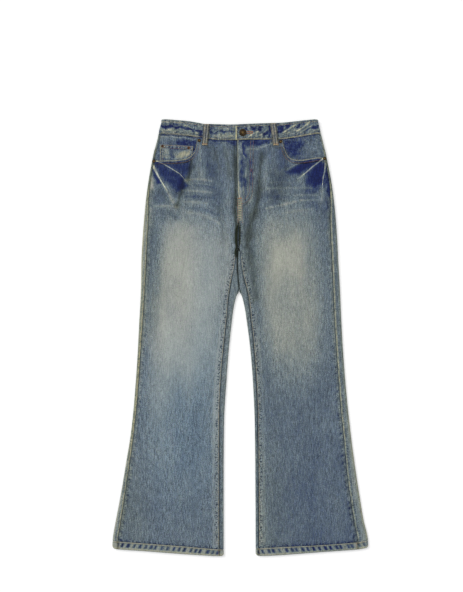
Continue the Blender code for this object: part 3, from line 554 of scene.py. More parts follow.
def add_shapes(field, x, down, shapes):
    """Add soft outlines whose edges waver as dye does."""
    x, down = (x + 1.5 * np.sin(down / 3.1 + x / 9) + np.sin(x / 2.7),
               down + 1.5 * np.sin(x / 3.7 + down / 11) + np.sin(down / 2.3 + x / 4))
    for amount, soft, points in shapes:
        part = within(x, down, *zip(*points), soft)
        if part.any():
            distance = outline_distance(x[part], down[part], points)
            field[part] += amount * ease(0.5 - distance / (2 * soft))
    return field


def add_folds(x, down, table):
    """Height of soft ridges; angle leans the fold, in degrees from straight down."""
    height = np.zeros(np.shape(x))
    for fx, fd, angle, half_length, half_width, rise in table.data:
        lean = math.radians(angle)
        along = (x - fx) * math.sin(lean) + (down - fd) * math.cos(lean)
        across = (x - fx) * math.cos(lean) - (down - fd) * math.sin(lean)
        across = across + half_width * 0.35 * np.sin(along / half_length * 2.6 + fx)
        height += rise * np.exp(-((across / half_width) ** 2) - (along / half_length) ** 4)
    return height


def rope(along, across, period, half_width, slant, seed, sharp=2, uneven=1.0):
    """Dark slanted blocks in a row, as unwashed hollows between the puckers of a seam."""
    chance = np.random.default_rng(seed)
    count = 400
    shift = chance.uniform(-0.28, 0.28, count) * period * uneven
    size = (1 + uneven * chance.uniform(-0.3, 0.25, count)) * half_width
    depth = 1 - uneven * chance.uniform(0.0, 0.55, count)
    index = np.floor(along / period).astype(int)
    found = np.zeros(np.shape(along))
    for step in (-1, 0, 1):
        place = np.clip(index + step, 0, count - 1)
        centre = (place + 0.5) * period + shift[place]
        block = np.exp(-1.4 * np.abs((along - centre - slant * across) / size[place]) ** sharp)
        found = np.maximum(found, block * depth[place])
    return found


# ---- the shared surfaces of the garment


def outer_x(side, down):
    return SIDES[side][1].at("outer", down)


def top_z(down):
    return TOP_SIDE.at("z", down)


# How far the fronts draw apart where the seams meet at the crotch.
SLIT = Table("down gap", [
    (SLIT_TOP, 0.0), (248, 1.5), (262, 2.4), (285, 2.8), (296, 2.4), (304, 0.8), (320, 0.3), (335, 0.0),
])


def fold_low(down):
    return BAND_LOW * (1 - ease((down - YOKE_RAMP[0]) / (YOKE_RAMP[1] - YOKE_RAMP[0])))


def fold_radius(down):
    return (top_z(down) - fold_low(down)) / 2


def outseam_x(side, down):
    sign, table = SIDES[side][:2]
    furthest = sign * outer_x(side, down) - fold_radius(down) - 1
    return sign * np.minimum(sign * table.at("outseam", down), furthest)


def centre_x(down):
    return CENTRE.at("x", down)


def front_inner_x(side, down):
    sign = SIDES[side][0]
    down = np.asarray(down, float)
    edge = centre_x(down) + sign * SEAM_GAP / 2
    if side == "right":
        edge = edge + (UNDERLAP + SEAM_GAP) * (1 - ease((down - FLY_END) / 15))
    edge = np.where(down > CROTCH, SIDES[side][3].at("x", down) + sign * SEAM_GAP, edge)
    return edge - SLIT.at("gap", down) * (1 if side == "right" else -0.12)


def under_inner_x(side, down):
    sign, _, inside = SIDES[side][:3]
    leg = inside.at("inner", down) + sign * fold_radius(down)
    return np.where(np.asarray(down) < APEX, BACK_CENTRE + sign * SEAM_GAP / 2, leg)


def under_x(side, share, down):
    """A place of the seat's underside, at a share of the way from the fold to the back's seam."""
    sign = SIDES[side][0]
    fold_x = outer_x(side, down) - sign * fold_radius(down)
    return mix(fold_x, BACK_CENTRE + sign * SEAM_GAP / 2, share)


def below_band(x):
    return BAND_EDGES.at("bottom", np.clip(x, -BAND_FOLD_X, BAND_FOLD_X)) + SEAM_GAP


def pocket_rise(share, down):
    across = np.minimum((share - 0.085) / 0.055, (0.905 - share) / 0.055)
    along = np.minimum((down - POCKET_TOP) / POCKET_RAMP + 1, (POCKET_POINT - down) / POCKET_RAMP + 4 / 3)
    return (DENIM + SEAM_GAP) * ease(np.minimum(across, along))


def to_hem(side, x, down):
    """The lowest rows of a leg, with the slope of its hem."""
    slope = ease((down - HEM_SLOPE_FROM) / (LEG_END - HEM_SLOPE_FROM))
    return down + (SIDES[side][5].at("top", x) - LEG_HEM_SEAM - LEG_END) * slope


def front_relief(x, down):
    """How far the upper side stands up from its plain form, before Front settles it to 0 towards its edges.
    """
    height = add_folds(x, down, FOLDS)
    for x0, d0, x1, d1, x2, d2, half_width, amount in FRONT_LINES.data:
        distance, _ = line_distance(x, down, ((x0, d0), (x1, d1), (x2, d2)))
        height += 1.3 * amount * bump_of(distance, half_width)
    return height


def front_wear(x, down, side):
    wear = LEG_WEAR.at("wear", down) + (LEFT_LEG_TINT * ease((down - 120) / 120) if side == "left" else 0)
    wear = add_patches(wear, x, down, FRONT_PATCHES)
    wear = add_shapes(wear, x, down, FRONT_SHAPES)
    return add_lines(wear, x, down, FRONT_LINES)


def beside_seam(distance):
    """Where the cloth draws into puckers: 1 at 4 to 8 mm from a seam and 0 beyond 11 mm."""
    return 1 - ease((np.abs(distance - 6.0) - 1.5) / 3.5)


def lower_leg(down):
    """The puckers of the outer seams are strong on the lower leg and weaker above the knee."""
    return 0.4 + 0.6 * ease((down - 420) / 180)


# ---- making a sheet


# Of these, shade is painted shade: it darkens the colour where creases, hollows, seam edges and the slit
# would lie in shade.
FIELDS = ("wear", "warmth", "shade", "pucker", "ray")  # what each point of the cloth knows of its finish
surfaces = {}


def to_metres(points):
    x, down, z = points[..., 0], points[..., 1], points[..., 2]
    return np.stack([(x - CENTRE_X) * MM, (TOP_Y - down) * MM, z * MM], axis=-1)


def new_mesh(name, points, faces, material, fields):
    """A mesh with a named number at each point for each of the fields."""
    mesh = bpy.data.meshes.new(name)
    mesh.from_pydata(points.tolist(), [], faces)
    for label, values in fields:
        attribute = mesh.attributes.new(label, "FLOAT", "POINT")
        attribute.data.foreach_set("value", values.astype(np.float32))
    mesh.materials.append(material)
    return mesh


def new_piece(name, mesh):
    mesh.shade_smooth()
    obj = bpy.data.objects.new(name, mesh)
    bpy.context.scene.collection.objects.link(obj)
    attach(obj, "root")
    return obj


def sheet_piece(name, grid, wall, material, wear, warmth=0.0, shade=0.0, pucker=0.0, ray=60.0,
                flip=False, closed=False):
    """A cloth piece from rows of points on its outer face. Points that are NaN leave a hole."""
    rows, columns = grid.shape[:2]
    real = ~np.isnan(grid[..., 0])
    number = np.full((rows, columns), -1)
    number[real] = np.arange(real.sum())
    corner = [number[:-1, :-1], number[1:, :-1], number[1:, 1:], number[:-1, 1:]]
    if closed:
        turned = np.roll(number, -1, axis=1)
        corner = [number[:-1], number[1:], turned[1:], turned[:-1]]
    quads = np.stack(corner, axis=-1).reshape(-1, 4)
    quads = quads[(quads >= 0).all(axis=1)]
    if flip:
        quads = quads[:, ::-1]
    points = to_metres(grid[real])
    fields = [np.broadcast_to(field, (rows, columns))[real] for field in (wear, warmth, shade, pucker, ray)]
    mesh = new_mesh(name + "_cloth", points, quads.tolist(), material, zip(FIELDS, fields))
    obj = new_piece(name + "_cloth", mesh)
    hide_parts(name)
    thicken = obj.modifiers.new("wall", "SOLIDIFY")
    thicken.thickness = wall * MM
    thicken.offset = -1
    surfaces[name] = BVHTree.FromPolygons(points.tolist(), quads.tolist())
    return obj


def arc(grid, axis):
    """Length of cloth before each point, along a row or a column."""
    step = np.nan_to_num(np.linalg.norm(np.diff(grid, axis=axis), axis=-1))
    start = np.zeros_like(np.take(step, [0], axis=axis))
    return np.cumsum(np.concatenate([start, step], axis=axis), axis=axis)


def to_edge(length, axis):
    """Distance to the nearer end of each row or column."""
    return np.minimum(length, np.take(length, [-1], axis=axis) - length)


def outward(grid, column, up):
    """Directions square to the cloth. up tells whether the middle of that column faces up or down."""
    ways = []
    for axis in (0, 1):
        step = np.diff(grid, axis=axis)
        gap = np.full_like(np.take(grid, [0], axis=axis), np.nan)
        both = np.stack([np.concatenate([gap, step], axis=axis), np.concatenate([step, gap], axis=axis)])
        ways.append(np.nansum(both, axis=0))
    normal = np.cross(ways[0], ways[1])
    normal /= np.maximum(np.linalg.norm(normal, axis=-1, keepdims=True), 1e-9)
    return normal * (1 if (normal[len(grid) // 2, column, 2] > 0) == up else -1)


def raised(grid, relief, column=1, up=True):
    return grid + outward(grid, column, up) * relief[..., None]


# ---- the finishes


def node(tree, kind, links=(), **values):
    """Add a node, set its values by name, and link (input, source socket) pairs to it."""
    made = tree.nodes.new(kind)
    for name, value in values.items():
        setattr(made, name, value)
    for target, source in links:
        if hasattr(source, "node"):
            tree.links.new(source, made.inputs[target])
        else:
            made.inputs[target].default_value = source
    return made


def maths(tree, operation, a, b=0.0, c=0.0):
    made = node(tree, "ShaderNodeMath", [(0, a), (1, b), (2, c)], operation=operation)
    return made.outputs[0]


def ramped(tree, value, start, end, low=0.0, high=1.0, kind="LINEAR"):
    """low to high, as value goes from start to end."""
    made = node(tree, "ShaderNodeMapRange", [("Value", value), ("From Min", start), ("From Max", end),
                                             ("To Min", low), ("To Max", high)], interpolation_type=kind)
    return made.outputs[0]


def mixed(tree, factor, a, b, kind="MIX"):
    made = node(tree, "ShaderNodeMix", [("Factor", factor), ("A", a), ("B", b)],
                data_type="RGBA", blend_type=kind)
    return made.outputs["Result"]


def srgb(red, green, blue):
    """A colour as it is read from a swatch, 0 to 255."""
    part = [value / 255 for value in (red, green, blue)]
    return [p / 12.92 if p <= 0.04045 else ((p + 0.055) / 1.055) ** 2.4 for p in part] + [1.0]


def speckle(tree, vector, scale, size, detail=2.0, roughness=0.6):
    """Noise round 0 from coordinates that are stretched by scale."""
    place = node(tree, "ShaderNodeMapping", [("Vector", vector), ("Scale", scale)])
    noise = node(tree, "ShaderNodeTexNoise",
                 [("Vector", place.outputs[0]), ("Scale", 1.0), ("Detail", detail), ("Roughness", roughness)])
    return maths(tree, "MULTIPLY", maths(tree, "SUBTRACT", noise.outputs[0], 0.5), size)


def new_group(name, inputs):
    """An effect that gives colour, roughness and height. Each input has a name, a kind and a value."""
    group = bpy.data.node_groups.new(name, "ShaderNodeTree")
    for label, kind, value in inputs:
        socket = group.interface.new_socket(name=label, in_out="INPUT", socket_type="NodeSocket" + kind)
        if value is not None:
            socket.default_value = value
    for label, kind in (("Color", "Color"), ("Roughness", "Float"), ("Height", "Float")):
        group.interface.new_socket(name=label, in_out="OUTPUT", socket_type="NodeSocket" + kind)
    return group, node(group, "NodeGroupInput").outputs


def close_group(group, colour, roughness, height):
    node(group, "NodeGroupOutput", [("Color", colour), ("Roughness", roughness), ("Height", height)])
    return group


INDIGO_TO_WHITE = (
    (0.0, (15, 27, 80)), (0.13, (38, 54, 96)), (0.32, (80, 94, 111)), (0.5, (106, 120, 130)),
    (0.65, (130, 139, 141)), (0.8, (156, 160, 156)), (0.9, (172, 177, 170)), (1.0, (204, 208, 182)),
)


def cloth_colour(group, vector, wear, warmth, dark, light):
    """The dye, then the light on its threads, its uneven cast, its cool or warm places and the painted shade
    of its creases, which also warms the colour.
    """
    ramp = node(group, "ShaderNodeValToRGB", [("Fac", wear)])
    stops = ramp.color_ramp.elements
    while len(stops) < len(INDIGO_TO_WHITE):
        stops.new(0.5)
    for stop, (place, dye) in zip(stops, INDIGO_TO_WHITE):
        stop.position = place
        stop.color = srgb(*dye)
    patchy = maths(group, "ADD", speckle(group, vector, (240, 200, 200), 2.2, 3.0), 0.5)
    cast = mixed(group, patchy, (0.95, 1.03, 0.94, 1), (1.05, 0.98, 1.06, 1))
    cool = maths(group, "MULTIPLY", warmth, -1.0)
    # The painted shade warms the colour a little as it darkens it.
    warm = maths(group, "MULTIPLY_ADD", dark, 0.3, warmth)
    # Painted shade: the colour darkens towards a dark olive where creases and hollows would lie in shade.
    painted_crease_shade = maths(group, "MULTIPLY", dark, 0.9)
    colour = ramp.outputs[0]
    for factor, other in ((1.0, light), (1.0, cast), (cool, (0.8, 1.0, 1.2, 1)),
                          (warm, (1.14, 1.02, 0.66, 1)), (painted_crease_shade, (0.1, 0.115, 0.06, 1))):
        colour = mixed(group, factor, colour, other, "MULTIPLY")
    return colour


def washed_cloth_group():
    """Colour, roughness and height of washed twill, from how much dye has left it, with painted shade from
    its shade field and its puckers.
    """
    group, start = new_group("washed twill", (
        ("Vector", "Vector", None), ("Wear", "Float", 0.5), ("Warmth", "Float", 0.0), ("Shade", "Float", 0.0),
        ("Pucker", "Float", 0.0), ("Ray", "Float", 60.0), ("Grain", "Float", 1.0), ("Mottle", "Float", 0.0),
        ("Tint", "Color", (1, 1, 1, 1))))
    vector = start["Vector"]
    slubs = speckle(group, vector, (760, 62, 400), 0.58, 3.0, 0.7)
    flecks = speckle(group, vector, (840, 420, 500), 0.66, 3.0, 0.8)
    clouds = speckle(group, vector, (150, 7, 90), 0.16, 3.0)
    drifts = speckle(group, vector, (17, 9, 12), 0.22, 2.0)
    grain = maths(group, "MULTIPLY", start["Grain"], ramped(group, start["Wear"], 0.52, 0.76, 1.0, 0.4))
    blots = maths(group, "MULTIPLY", speckle(group, vector, (150, 210, 170), 1.5, 3.0, 0.6), start["Mottle"])
    marks = maths(group, "ADD", maths(group, "ADD", slubs, flecks), clouds)
    uneven = maths(group, "ADD", drifts, blots)
    dyed_wear = maths(group, "MULTIPLY_ADD", marks, grain, maths(group, "ADD", start["Wear"], uneven))
    rays = ramped(group, maths(group, "ABSOLUTE", start["Ray"]), 0.7, 2.0, 0.62, 0.0, "SMOOTHSTEP")
    pulls = speckle(group, vector, (190, 290, 170), 1.0, 2.0, 0.5)
    puckers = maths(group, "MULTIPLY", ramped(group, pulls, 0.02, 0.1, kind="SMOOTHSTEP"), start["Pucker"])
    rubbed = maths(group, "MULTIPLY_ADD", start["Pucker"], 0.05, rays)
    rubbed = maths(group, "MULTIPLY_ADD", puckers, -0.17, rubbed)
    wear = maths(group, "ADD", dyed_wear, rubbed)
    # Painted shade: the shade field, with more in the hollows of the puckers.
    dark = maths(group, "MULTIPLY_ADD", puckers, 0.25, start["Shade"])
    threads = maths(group, "ADD", speckle(group, vector, (780, 66, 500), 3.0, 3.0, 0.75),
                    speckle(group, vector, (900, 460, 600), 3.4, 2.0, 0.75))
    light = maths(group, "MULTIPLY_ADD", threads, grain, 1.0)
    colour = cloth_colour(group, vector, wear, start["Warmth"], dark, light)
    turned = node(group, "ShaderNodeMapping", [("Vector", vector), ("Rotation", (0, 0, math.radians(28)))])
    ribs = node(group, "ShaderNodeTexWave",
                [("Vector", turned.outputs[0]), ("Scale", 392.0), ("Distortion", 1.2), ("Detail", 1.0),
                 ("Detail Scale", 1.5)], bands_direction="X")
    height = maths(group, "MULTIPLY_ADD", ribs.outputs["Fac"], 0.35, maths(group, "MULTIPLY", marks, 1.6))
    return close_group(group, mixed(group, 1.0, colour, start["Tint"], "MULTIPLY"),
                       maths(group, "MULTIPLY_ADD", wear, 0.1, 0.82),
                       maths(group, "MULTIPLY_ADD", puckers, -1.6, height))


def aged_metal_group():
    """Colour and roughness of metal that has darkened, with its bright places rubbed."""
    group, start = new_group("aged metal", (
        ("Vector", "Vector", None), ("Dark", "Color", (0.05, 0.04, 0.03, 1)),
        ("Bright", "Color", (0.5, 0.4, 0.2, 1)), ("Rubbed", "Float", 0.4)))
    marks = speckle(group, start["Vector"], (900, 900, 900), 1.3, 4.0, 0.65)
    mask = node(group, "ShaderNodeClamp", [("Value", maths(group, "ADD", marks, start["Rubbed"]))]).outputs[0]
    return close_group(group, mixed(group, mask, start["Dark"], start["Bright"]),
                       maths(group, "MULTIPLY_ADD", mask, -0.22, 0.52), marks)


def new_material(name, **sockets):
    material = bpy.data.materials.new(name)
    material.use_nodes = True
    shader = material.node_tree.nodes["Principled BSDF"]
    for socket, value in sockets.items():
        shader.inputs[socket.replace("_", " ")].default_value = value
    return material, material.node_tree, shader


def add_bump(tree, shader, height, depth, strength):
    bump = node(tree, "ShaderNodeBump", [("Height", height), ("Distance", depth), ("Strength", strength)])
    tree.links.new(bump.outputs[0], shader.inputs["Normal"])


def finish_shader(tree, shader, effect, depth):
    """Join an effect's colour, roughness and height to the shader."""
    tree.links.new(effect.outputs["Color"], shader.inputs["Base Color"])
    tree.links.new(effect.outputs["Roughness"], shader.inputs["Roughness"])
    add_bump(tree, shader, effect.outputs["Height"], depth, 0.6)


def denim_material(name, grain=1.0, mottle=0.0, tint=(1, 1, 1, 1)):
    material, tree, shader = new_material(name, Specular_IOR_Level=0.25)
    place = node(tree, "ShaderNodeTexCoord").outputs["Object"]
    effect = node(tree, "ShaderNodeGroup", node_tree=washed_twill)
    tree.links.new(place, effect.inputs["Vector"])
    for label in FIELDS:
        field = node(tree, "ShaderNodeAttribute", attribute_name=label).outputs["Fac"]
        tree.links.new(field, effect.inputs[label.capitalize()])
    effect.inputs["Grain"].default_value = grain
    effect.inputs["Mottle"].default_value = mottle
    effect.inputs["Tint"].default_value = tint
    finish_shader(tree, shader, effect, 0.0004)
    return material


def metal_material(name, dark, bright, rubbed):
    material, tree, shader = new_material(name, Metallic=0.85)
    place = node(tree, "ShaderNodeTexCoord").outputs["Object"]
    effect = node(tree, "ShaderNodeGroup", node_tree=aged_metal)
    tree.links.new(place, effect.inputs["Vector"])
    effect.inputs["Dark"].default_value = srgb(*dark)
    effect.inputs["Bright"].default_value = srgb(*bright)
    effect.inputs["Rubbed"].default_value = rubbed
    finish_shader(tree, shader, effect, 0.0001)
    return material


def thread_material(name, dark, bright):
    """Sewing thread, each stitch a little paler or darker than the next, with its twist."""
    material, tree, shader = new_material(name, Roughness=0.75, Specular_IOR_Level=0.3)
    place = node(tree, "ShaderNodeTexCoord").outputs["Object"]
    tone = node(tree, "ShaderNodeAttribute", attribute_name="tone").outputs["Fac"]
    tree.links.new(mixed(tree, tone, srgb(*dark), srgb(*bright)), shader.inputs["Base Color"])
    add_bump(tree, shader, speckle(tree, place, (2400, 2400, 2400), 1.0), 0.0002, 0.5)
    return material


washed_twill = washed_cloth_group()
aged_metal = aged_metal_group()
denim = denim_material("washed denim")
band_denim = denim_material("waistband denim", 1.2, 0.7)
loop_denim = denim_material("belt loop denim", 1.2, 0.3, (1.2, 1.01, 0.93, 1))
pocket_denim = denim_material("pocket denim", 1.1, 0.35)
zip_cloth = denim_material("zip tape cloth", 0.3)
dark_brass = metal_material("dark brass", (34, 27, 22), (112, 90, 58), 0.2)
rubbed_brass = metal_material("rubbed brass", (66, 51, 33), (150, 124, 76), 0.45)
antique_copper = metal_material("antique copper", (40, 28, 23), (122, 82, 56), 0.3)
beige_thread = thread_material("beige thread", (142, 132, 108), (216, 192, 150))
orange_thread = thread_material("orange thread", (146, 90, 60), (192, 134, 90))
brown_thread = thread_material("brown thread", (112, 74, 58), (166, 118, 88))


# ---- the fronts


def front_columns(side):
    """The upper edge of a front as points: below the waistband, then along the pocket's mouth."""
    sign, mouth = SIDES[side][0], SIDES[side][4]
    waist_x = mix(front_inner_x(side, 49.0), mouth.at("x", 0), np.linspace(0, 1, 60))
    steps = np.linspace(0, 8, 200)[1:]
    mouth_x, mouth_down = mouth.at("x", steps), mouth.at("down", steps)
    mouth_x[-1] = outseam_x(side, mouth_down[-1]) - sign * SEAM_GAP
    line_x = np.concatenate([waist_x, mouth_x])
    line_down = np.concatenate([below_band(waist_x), mouth_down])
    length = np.concatenate([[0], np.cumsum(np.hypot(np.diff(line_x), np.diff(line_down)))])
    corner = length[len(waist_x) - 1]
    rest = length[-1] - corner
    places = np.concatenate([even(corner, 2.3)[:-3] * corner, [corner], corner + even(rest, 2.3)[3:] * rest])
    return np.interp(places, length, line_x), np.interp(places, length, line_down), places > corner


def front_grid(side):
    """The points of a front, and which of its columns start in the pocket's mouth."""
    sign = SIDES[side][0]
    top_x, top_down, in_mouth = front_columns(side)
    part = spread(len(top_x), 220.0)
    inner, outer = front_inner_x(side, top_down), outseam_x(side, top_down)
    top_part = (top_x - inner) / (outer - inner)
    rows = []
    for share in np.append(even(141.0, 2.1)[:-3], 1.0):
        down = mix(top_down, HIP_ROW, share)
        across = mix(top_part, part, ease(share))
        x = mix(front_inner_x(side, down), outseam_x(side, down) - sign * SEAM_GAP, across)
        rows.append(np.stack([x, down], axis=-1))
    for level in HIP_ROW + (LEG_END - HIP_ROW) * even(LEG_END - HIP_ROW)[3:]:
        x = mix(front_inner_x(side, level), outseam_x(side, level) - sign * SEAM_GAP, part)
        rows.append(np.stack([x, to_hem(side, x, level)], axis=-1))
    flat = np.array(rows)
    x, down = flat[..., 0], flat[..., 1]
    dip = 0.0
    if side == "right":
        dip = UNDERLAP_DIP * ease((x + 27) / 18) * (1 - ease((down - FLY_END - 12) / 25))
    return np.concatenate([flat, (top_z(down) - dip)[..., None]], axis=-1), in_mouth[None, :] * 1.0


class Front:
    """The front of a leg, with the scooped pocket mouth cut out of its upper corner.

    Its methods work the seams into the cloth one by one, as relief, wear, warmth, painted shade and puckers.
    """

    def __init__(self, side):
        self.side, self.sign = side, SIDES[side][0]
        self.grid, self.in_mouth = front_grid(side)
        self.x, self.down = x, down = self.grid[..., 0], self.grid[..., 1]
        self.from_inner = arc(self.grid, 1)
        self.from_outer = self.from_inner[:, -1:] - self.from_inner
        self.from_top = arc(self.grid, 0)
        self.from_hem = self.from_top[-1:] - self.from_top
        self.leg = ease((down - CROTCH) / 25)
        settled = ease(self.from_outer / 16) * ease(self.from_hem / 20) * ease(self.from_top / 14)
        settled *= np.where(down > CROTCH - 12, ease(self.from_inner / 14), 1)
        self.relief = front_relief(x, down) * settled
        self.wear = front_wear(x, down, side)
        self.warmth = add_patches(np.zeros(x.shape), x, down, FRONT_CASTS)
        # Painted shade in creases and darker places, from the tables.
        shade = add_lines(np.zeros(x.shape), x, down, FRONT_SHADES, np.maximum)
        self.shade = add_shapes(shade, x, down, SHADE_SHAPES)
        self.pucker = lower_leg(down) * beside_seam(self.from_outer)

    def side_seam(self):
        """A pressed ridge with puckers, and undyed hollows between them, also darkened with painted shade."""
        seam, right = self.from_outer, self.side == "right"
        hollows = rope(self.down - 90, seam - 4, 17.0 if right else 16.0, 4.0, 0.7, 11 + self.sign)
        hollows *= near(seam - 6.0, 4.5) * ease((self.down - 120) / 60)
        hollows *= (0.45 if right else 0.6) + 0.4 * ease((self.down - 600) / 200)
        self.relief += 0.45 * near(seam - 5.5, 5) * (1 - 1.6 * hollows)
        self.wear += 0.1 * near(seam - 3, 5) - 0.34 * hollows
        self.wear -= 0.3 * near(seam, 1)
        # Painted shade in the hollows between the puckers.
        self.shade += 0.3 * hollows
        self.warmth += 0.35 * near(seam, 5)

    def inseam(self):
        """A felled ridge, darker along its edge: less worn there, and with painted shade, which also runs
        along the outer seam's edge.
        """
        seam = self.from_inner
        self.relief += 0.5 * self.leg * near(seam - 6.0, 7.0, 4)
        self.wear += self.leg * (0.07 * bump_of(seam - 13.5, 2.4) + 0.08 * bump_of(seam - 2.0, 1.6))
        self.wear += 0.08 * ease((self.down - 430) / 120) * near(seam - 8, 9.0, 4)
        self.wear -= self.leg * 0.14 * near(seam, 1.2)
        # Painted shade along the edge of the inseam, and along the edge of the side seam.
        self.shade += ease((self.down - 325) / 60) * 0.75 * near(seam, 1.5)
        self.shade += 0.4 * near(self.from_outer, 1.4)
        self.pucker = np.maximum(self.pucker, 2.1 * self.leg * beside_seam(seam - 0.5))

    def hem_seam(self):
        """The hem's seam pulls the leg into slanted ropes."""
        along, seam = self.x * self.sign, self.from_hem
        ropes = rope(along + 20, seam + 4, 13.2, 3.0, 0.5, 71 + self.sign, 3, 0.5)
        ticks = rope(along + 16, seam, 6.6, 1.7, 0.3, 31 + self.sign, 2)
        self.wear -= 0.34 * np.maximum(ropes, ticks) * near(seam, 5)
        # Painted shade in the small hollows along the hem's seam.
        self.shade += 0.25 * ticks * near(seam, 4)
        away_from_ends = ease(self.from_outer / 8) * ease(self.from_inner / 8)
        self.relief += 0.5 * (0.5 - ropes) * near(seam, 9) * away_from_ends

    def upper_edge(self):
        """The turned edge of the pocket's mouth with painted shadow below its stitching, and the darker cloth
        below the waistband, partly painted shade under the band's edge.
        """
        edge, mouth = self.from_top, self.in_mouth
        # Darker just below the waistband: less wear, with the shade under the band's edge painted into it.
        self.wear -= 0.26 * (1 - mouth) * near(edge, 3.4)
        self.relief += mouth * (0.5 * (1 - ease((edge - 8) / 3)) - 0.3 * bump_of(edge - 8.6, 1.4))
        self.wear = np.where(mouth * (edge < 1.3), 0.66, self.wear)
        self.wear -= mouth * 0.22 * bump_of(edge - 5.4, 1.8) * (0.6 + 0.4 * np.sin(self.from_inner / 2.6))
        self.warmth += mouth * 0.55 * near(edge, 2.6)
        # Painted shadow under the mouth's second row of stitches.
        self.shade += mouth * 0.45 * bump_of(edge - 9.2, 1.3)
        place = np.where(mouth > 0, edge - 2.0, edge + 1.0)
        at_ends = np.maximum(0.8 * beside_seam(place), beside_seam(self.from_hem + 3.5))
        self.pucker = np.maximum(self.pucker, at_ends)

    def fly(self):
        """The left front laps over: its facing stands up a little, its edge is rubbed, and painted shadow
        lies beside it.
        """
        x, down = self.x, self.down
        if self.side == "left":
            round_end = 0.0006 * np.maximum(down - 150, 0) ** 2
            self.relief += 0.55 * ease((34.0 - x - round_end) / 4) * (1 - ease((down - 193) / 7))
            fly_edge = (down < 190) * near(self.from_inner, 1.4)
            self.wear = np.maximum(self.wear, 0.82 * (fly_edge > 0.42))
            self.warmth += 0.6 * fly_edge
            seam = (down > FLY_END + 6) & (down < CROTCH)
            self.relief += seam * 0.45 * (1 - ease((self.from_inner - 7) / 2.5))
        else:
            # Painted shadow beside the edge of the left front, which laps over this one.
            self.shade += (down < 205) * 0.7 * bump_of(x + 8.4, 2)
            over_zip = ease((x + 26) / 6) * (1 - ease((down - 176) / 14))
            self.relief = np.where(self.relief < 0, self.relief * (1 - over_zip), self.relief)

    def crotch(self):
        """Below the fly the fronts are sewn together, then draw apart into a slit that is darkened with
        painted shade.
        """
        down, seam = self.down, self.from_inner
        self.relief -= 1.5 * ease((down - 225) / 30) * (1 - ease((down - 316) / 12)) * near(seam, 5)
        widest, start, end, fade = (5.0, 26, 310, 20) if self.side == "right" else (3.4, 22, 290, 16)
        painted_shade_width = widest * ease((down - SLIT_TOP) / start) * (1 - ease((down - end) / fade))
        # Painted shade along the inner edge, darkening the slit.
        self.shade += 1.3 * (1 - ease((seam - painted_shade_width + 1.5) / 3)) * (painted_shade_width > 0.2)
        sewn = ease((self.x + 7.4) / 1.6) * ease((4.2 - self.x) / 1.6) * ease((down - 184) / 5)
        below = ease((down - 226) / 20)
        self.wear = mix(self.wear, 0.6, sewn * (1 - below))
        self.warmth += 0.4 * sewn * (1 - below)
        self.pucker = np.maximum(self.pucker, sewn * below * (down < 296))

    def sheet(self):
        edge = np.minimum.reduce([self.from_inner, self.from_outer, self.from_top, self.from_hem])
        grid = raised(self.grid, self.relief - edge_drop(edge, 0.5, 1.5))
        sheet_piece("front_" + self.side, grid, DENIM, denim, self.wear, np.clip(self.warmth, -1, 1),
                    np.clip(self.shade, 0, 1.2), self.pucker, ray_reach(self.x, self.down),
                    flip=self.sign < 0)


def front_piece(side):
    front = Front(side)
    for work in (front.side_seam, front.inseam, front.hem_seam, front.upper_edge, front.fly, front.crotch,
                 front.sheet):
        work()


# ---- the backs, which show as strips beside the seams


STRIP, FOLD, UNDER, INNER_STRIP = 9, 9, 52, 8  # columns of a back
UNDER_START = STRIP + FOLD - 2
UNDER_END = UNDER_START + UNDER
UNDER_SHARES = np.concatenate([[0, 0.012], np.linspace(0.04, 0.96, UNDER - 4), [0.988, 1.0]])


def side_row(side, level):
    """The strip beside the side seam and the fold of one row, from the seam to the underside."""
    sign, radius, top = SIDES[side][0], fold_radius(level), top_z(level)
    fold_x = outer_x(side, level) - sign * radius
    row = [(mix(outseam_x(side, level), fold_x, t), level, top) for t in np.linspace(0, 1, STRIP)[:-1]]
    for turn in np.radians(np.linspace(90, -90, FOLD)[:-1]):
        row.append((fold_x + sign * radius * np.cos(turn), level, top - radius + radius * np.sin(turn)))
    return row, fold_x


def back_grid(side, seam_levels, leg_levels):
    """A back piece: side strip, fold, underside, leg fold and inner strip."""
    sign, inseam = SIDES[side][0], SIDES[side][3]
    rows = []
    for level in leg_levels:
        reach = APEX_REACH * (1 - ease((level - APEX) / 14)) * ease((level - APEX + 60) / 60)
        joined = ease((level - APEX) / 14)
        row, fold_x = side_row(side, level)
        seam_x = BACK_CENTRE + sign * SEAM_GAP / 2
        inner_x = mix(seam_x, under_inner_x(side, max(level, APEX)), joined) if level > APEX else seam_x
        for share in UNDER_SHARES:
            down = level - reach * ease((share - 0.86) / 0.14)
            row.append((mix(fold_x, inner_x, share), down, fold_low(level) + pocket_rise(share, level)))
        radius = fold_radius(level)
        for turn in np.radians(np.linspace(-90, 90, FOLD)[1:-1]):
            if level < APEX:
                row.append((np.nan, np.nan, np.nan))
            else:
                out = joined * radius * math.cos(turn)
                row.append((inner_x - sign * out, level - reach * (1 - math.cos(turn)),
                            radius + radius * math.sin(turn)))
        for t in np.linspace(0, 1, INNER_STRIP):
            if level <= CROTCH:
                row.append((np.nan, np.nan, np.nan))
                continue
            start = inner_x if level > APEX else centre_x(level) + sign * SEAM_GAP / 2
            row.append((mix(start, inseam.at("x", level), t), level - reach * (1 - t), top_z(level)))
        rows.append(row)
    grid = np.array(rows)
    grid = np.concatenate([yoke_rows(side, seam_levels, grid.shape[1]), grid])
    grid[..., 1] = to_hem(side, grid[..., 0], grid[..., 1])
    return grid


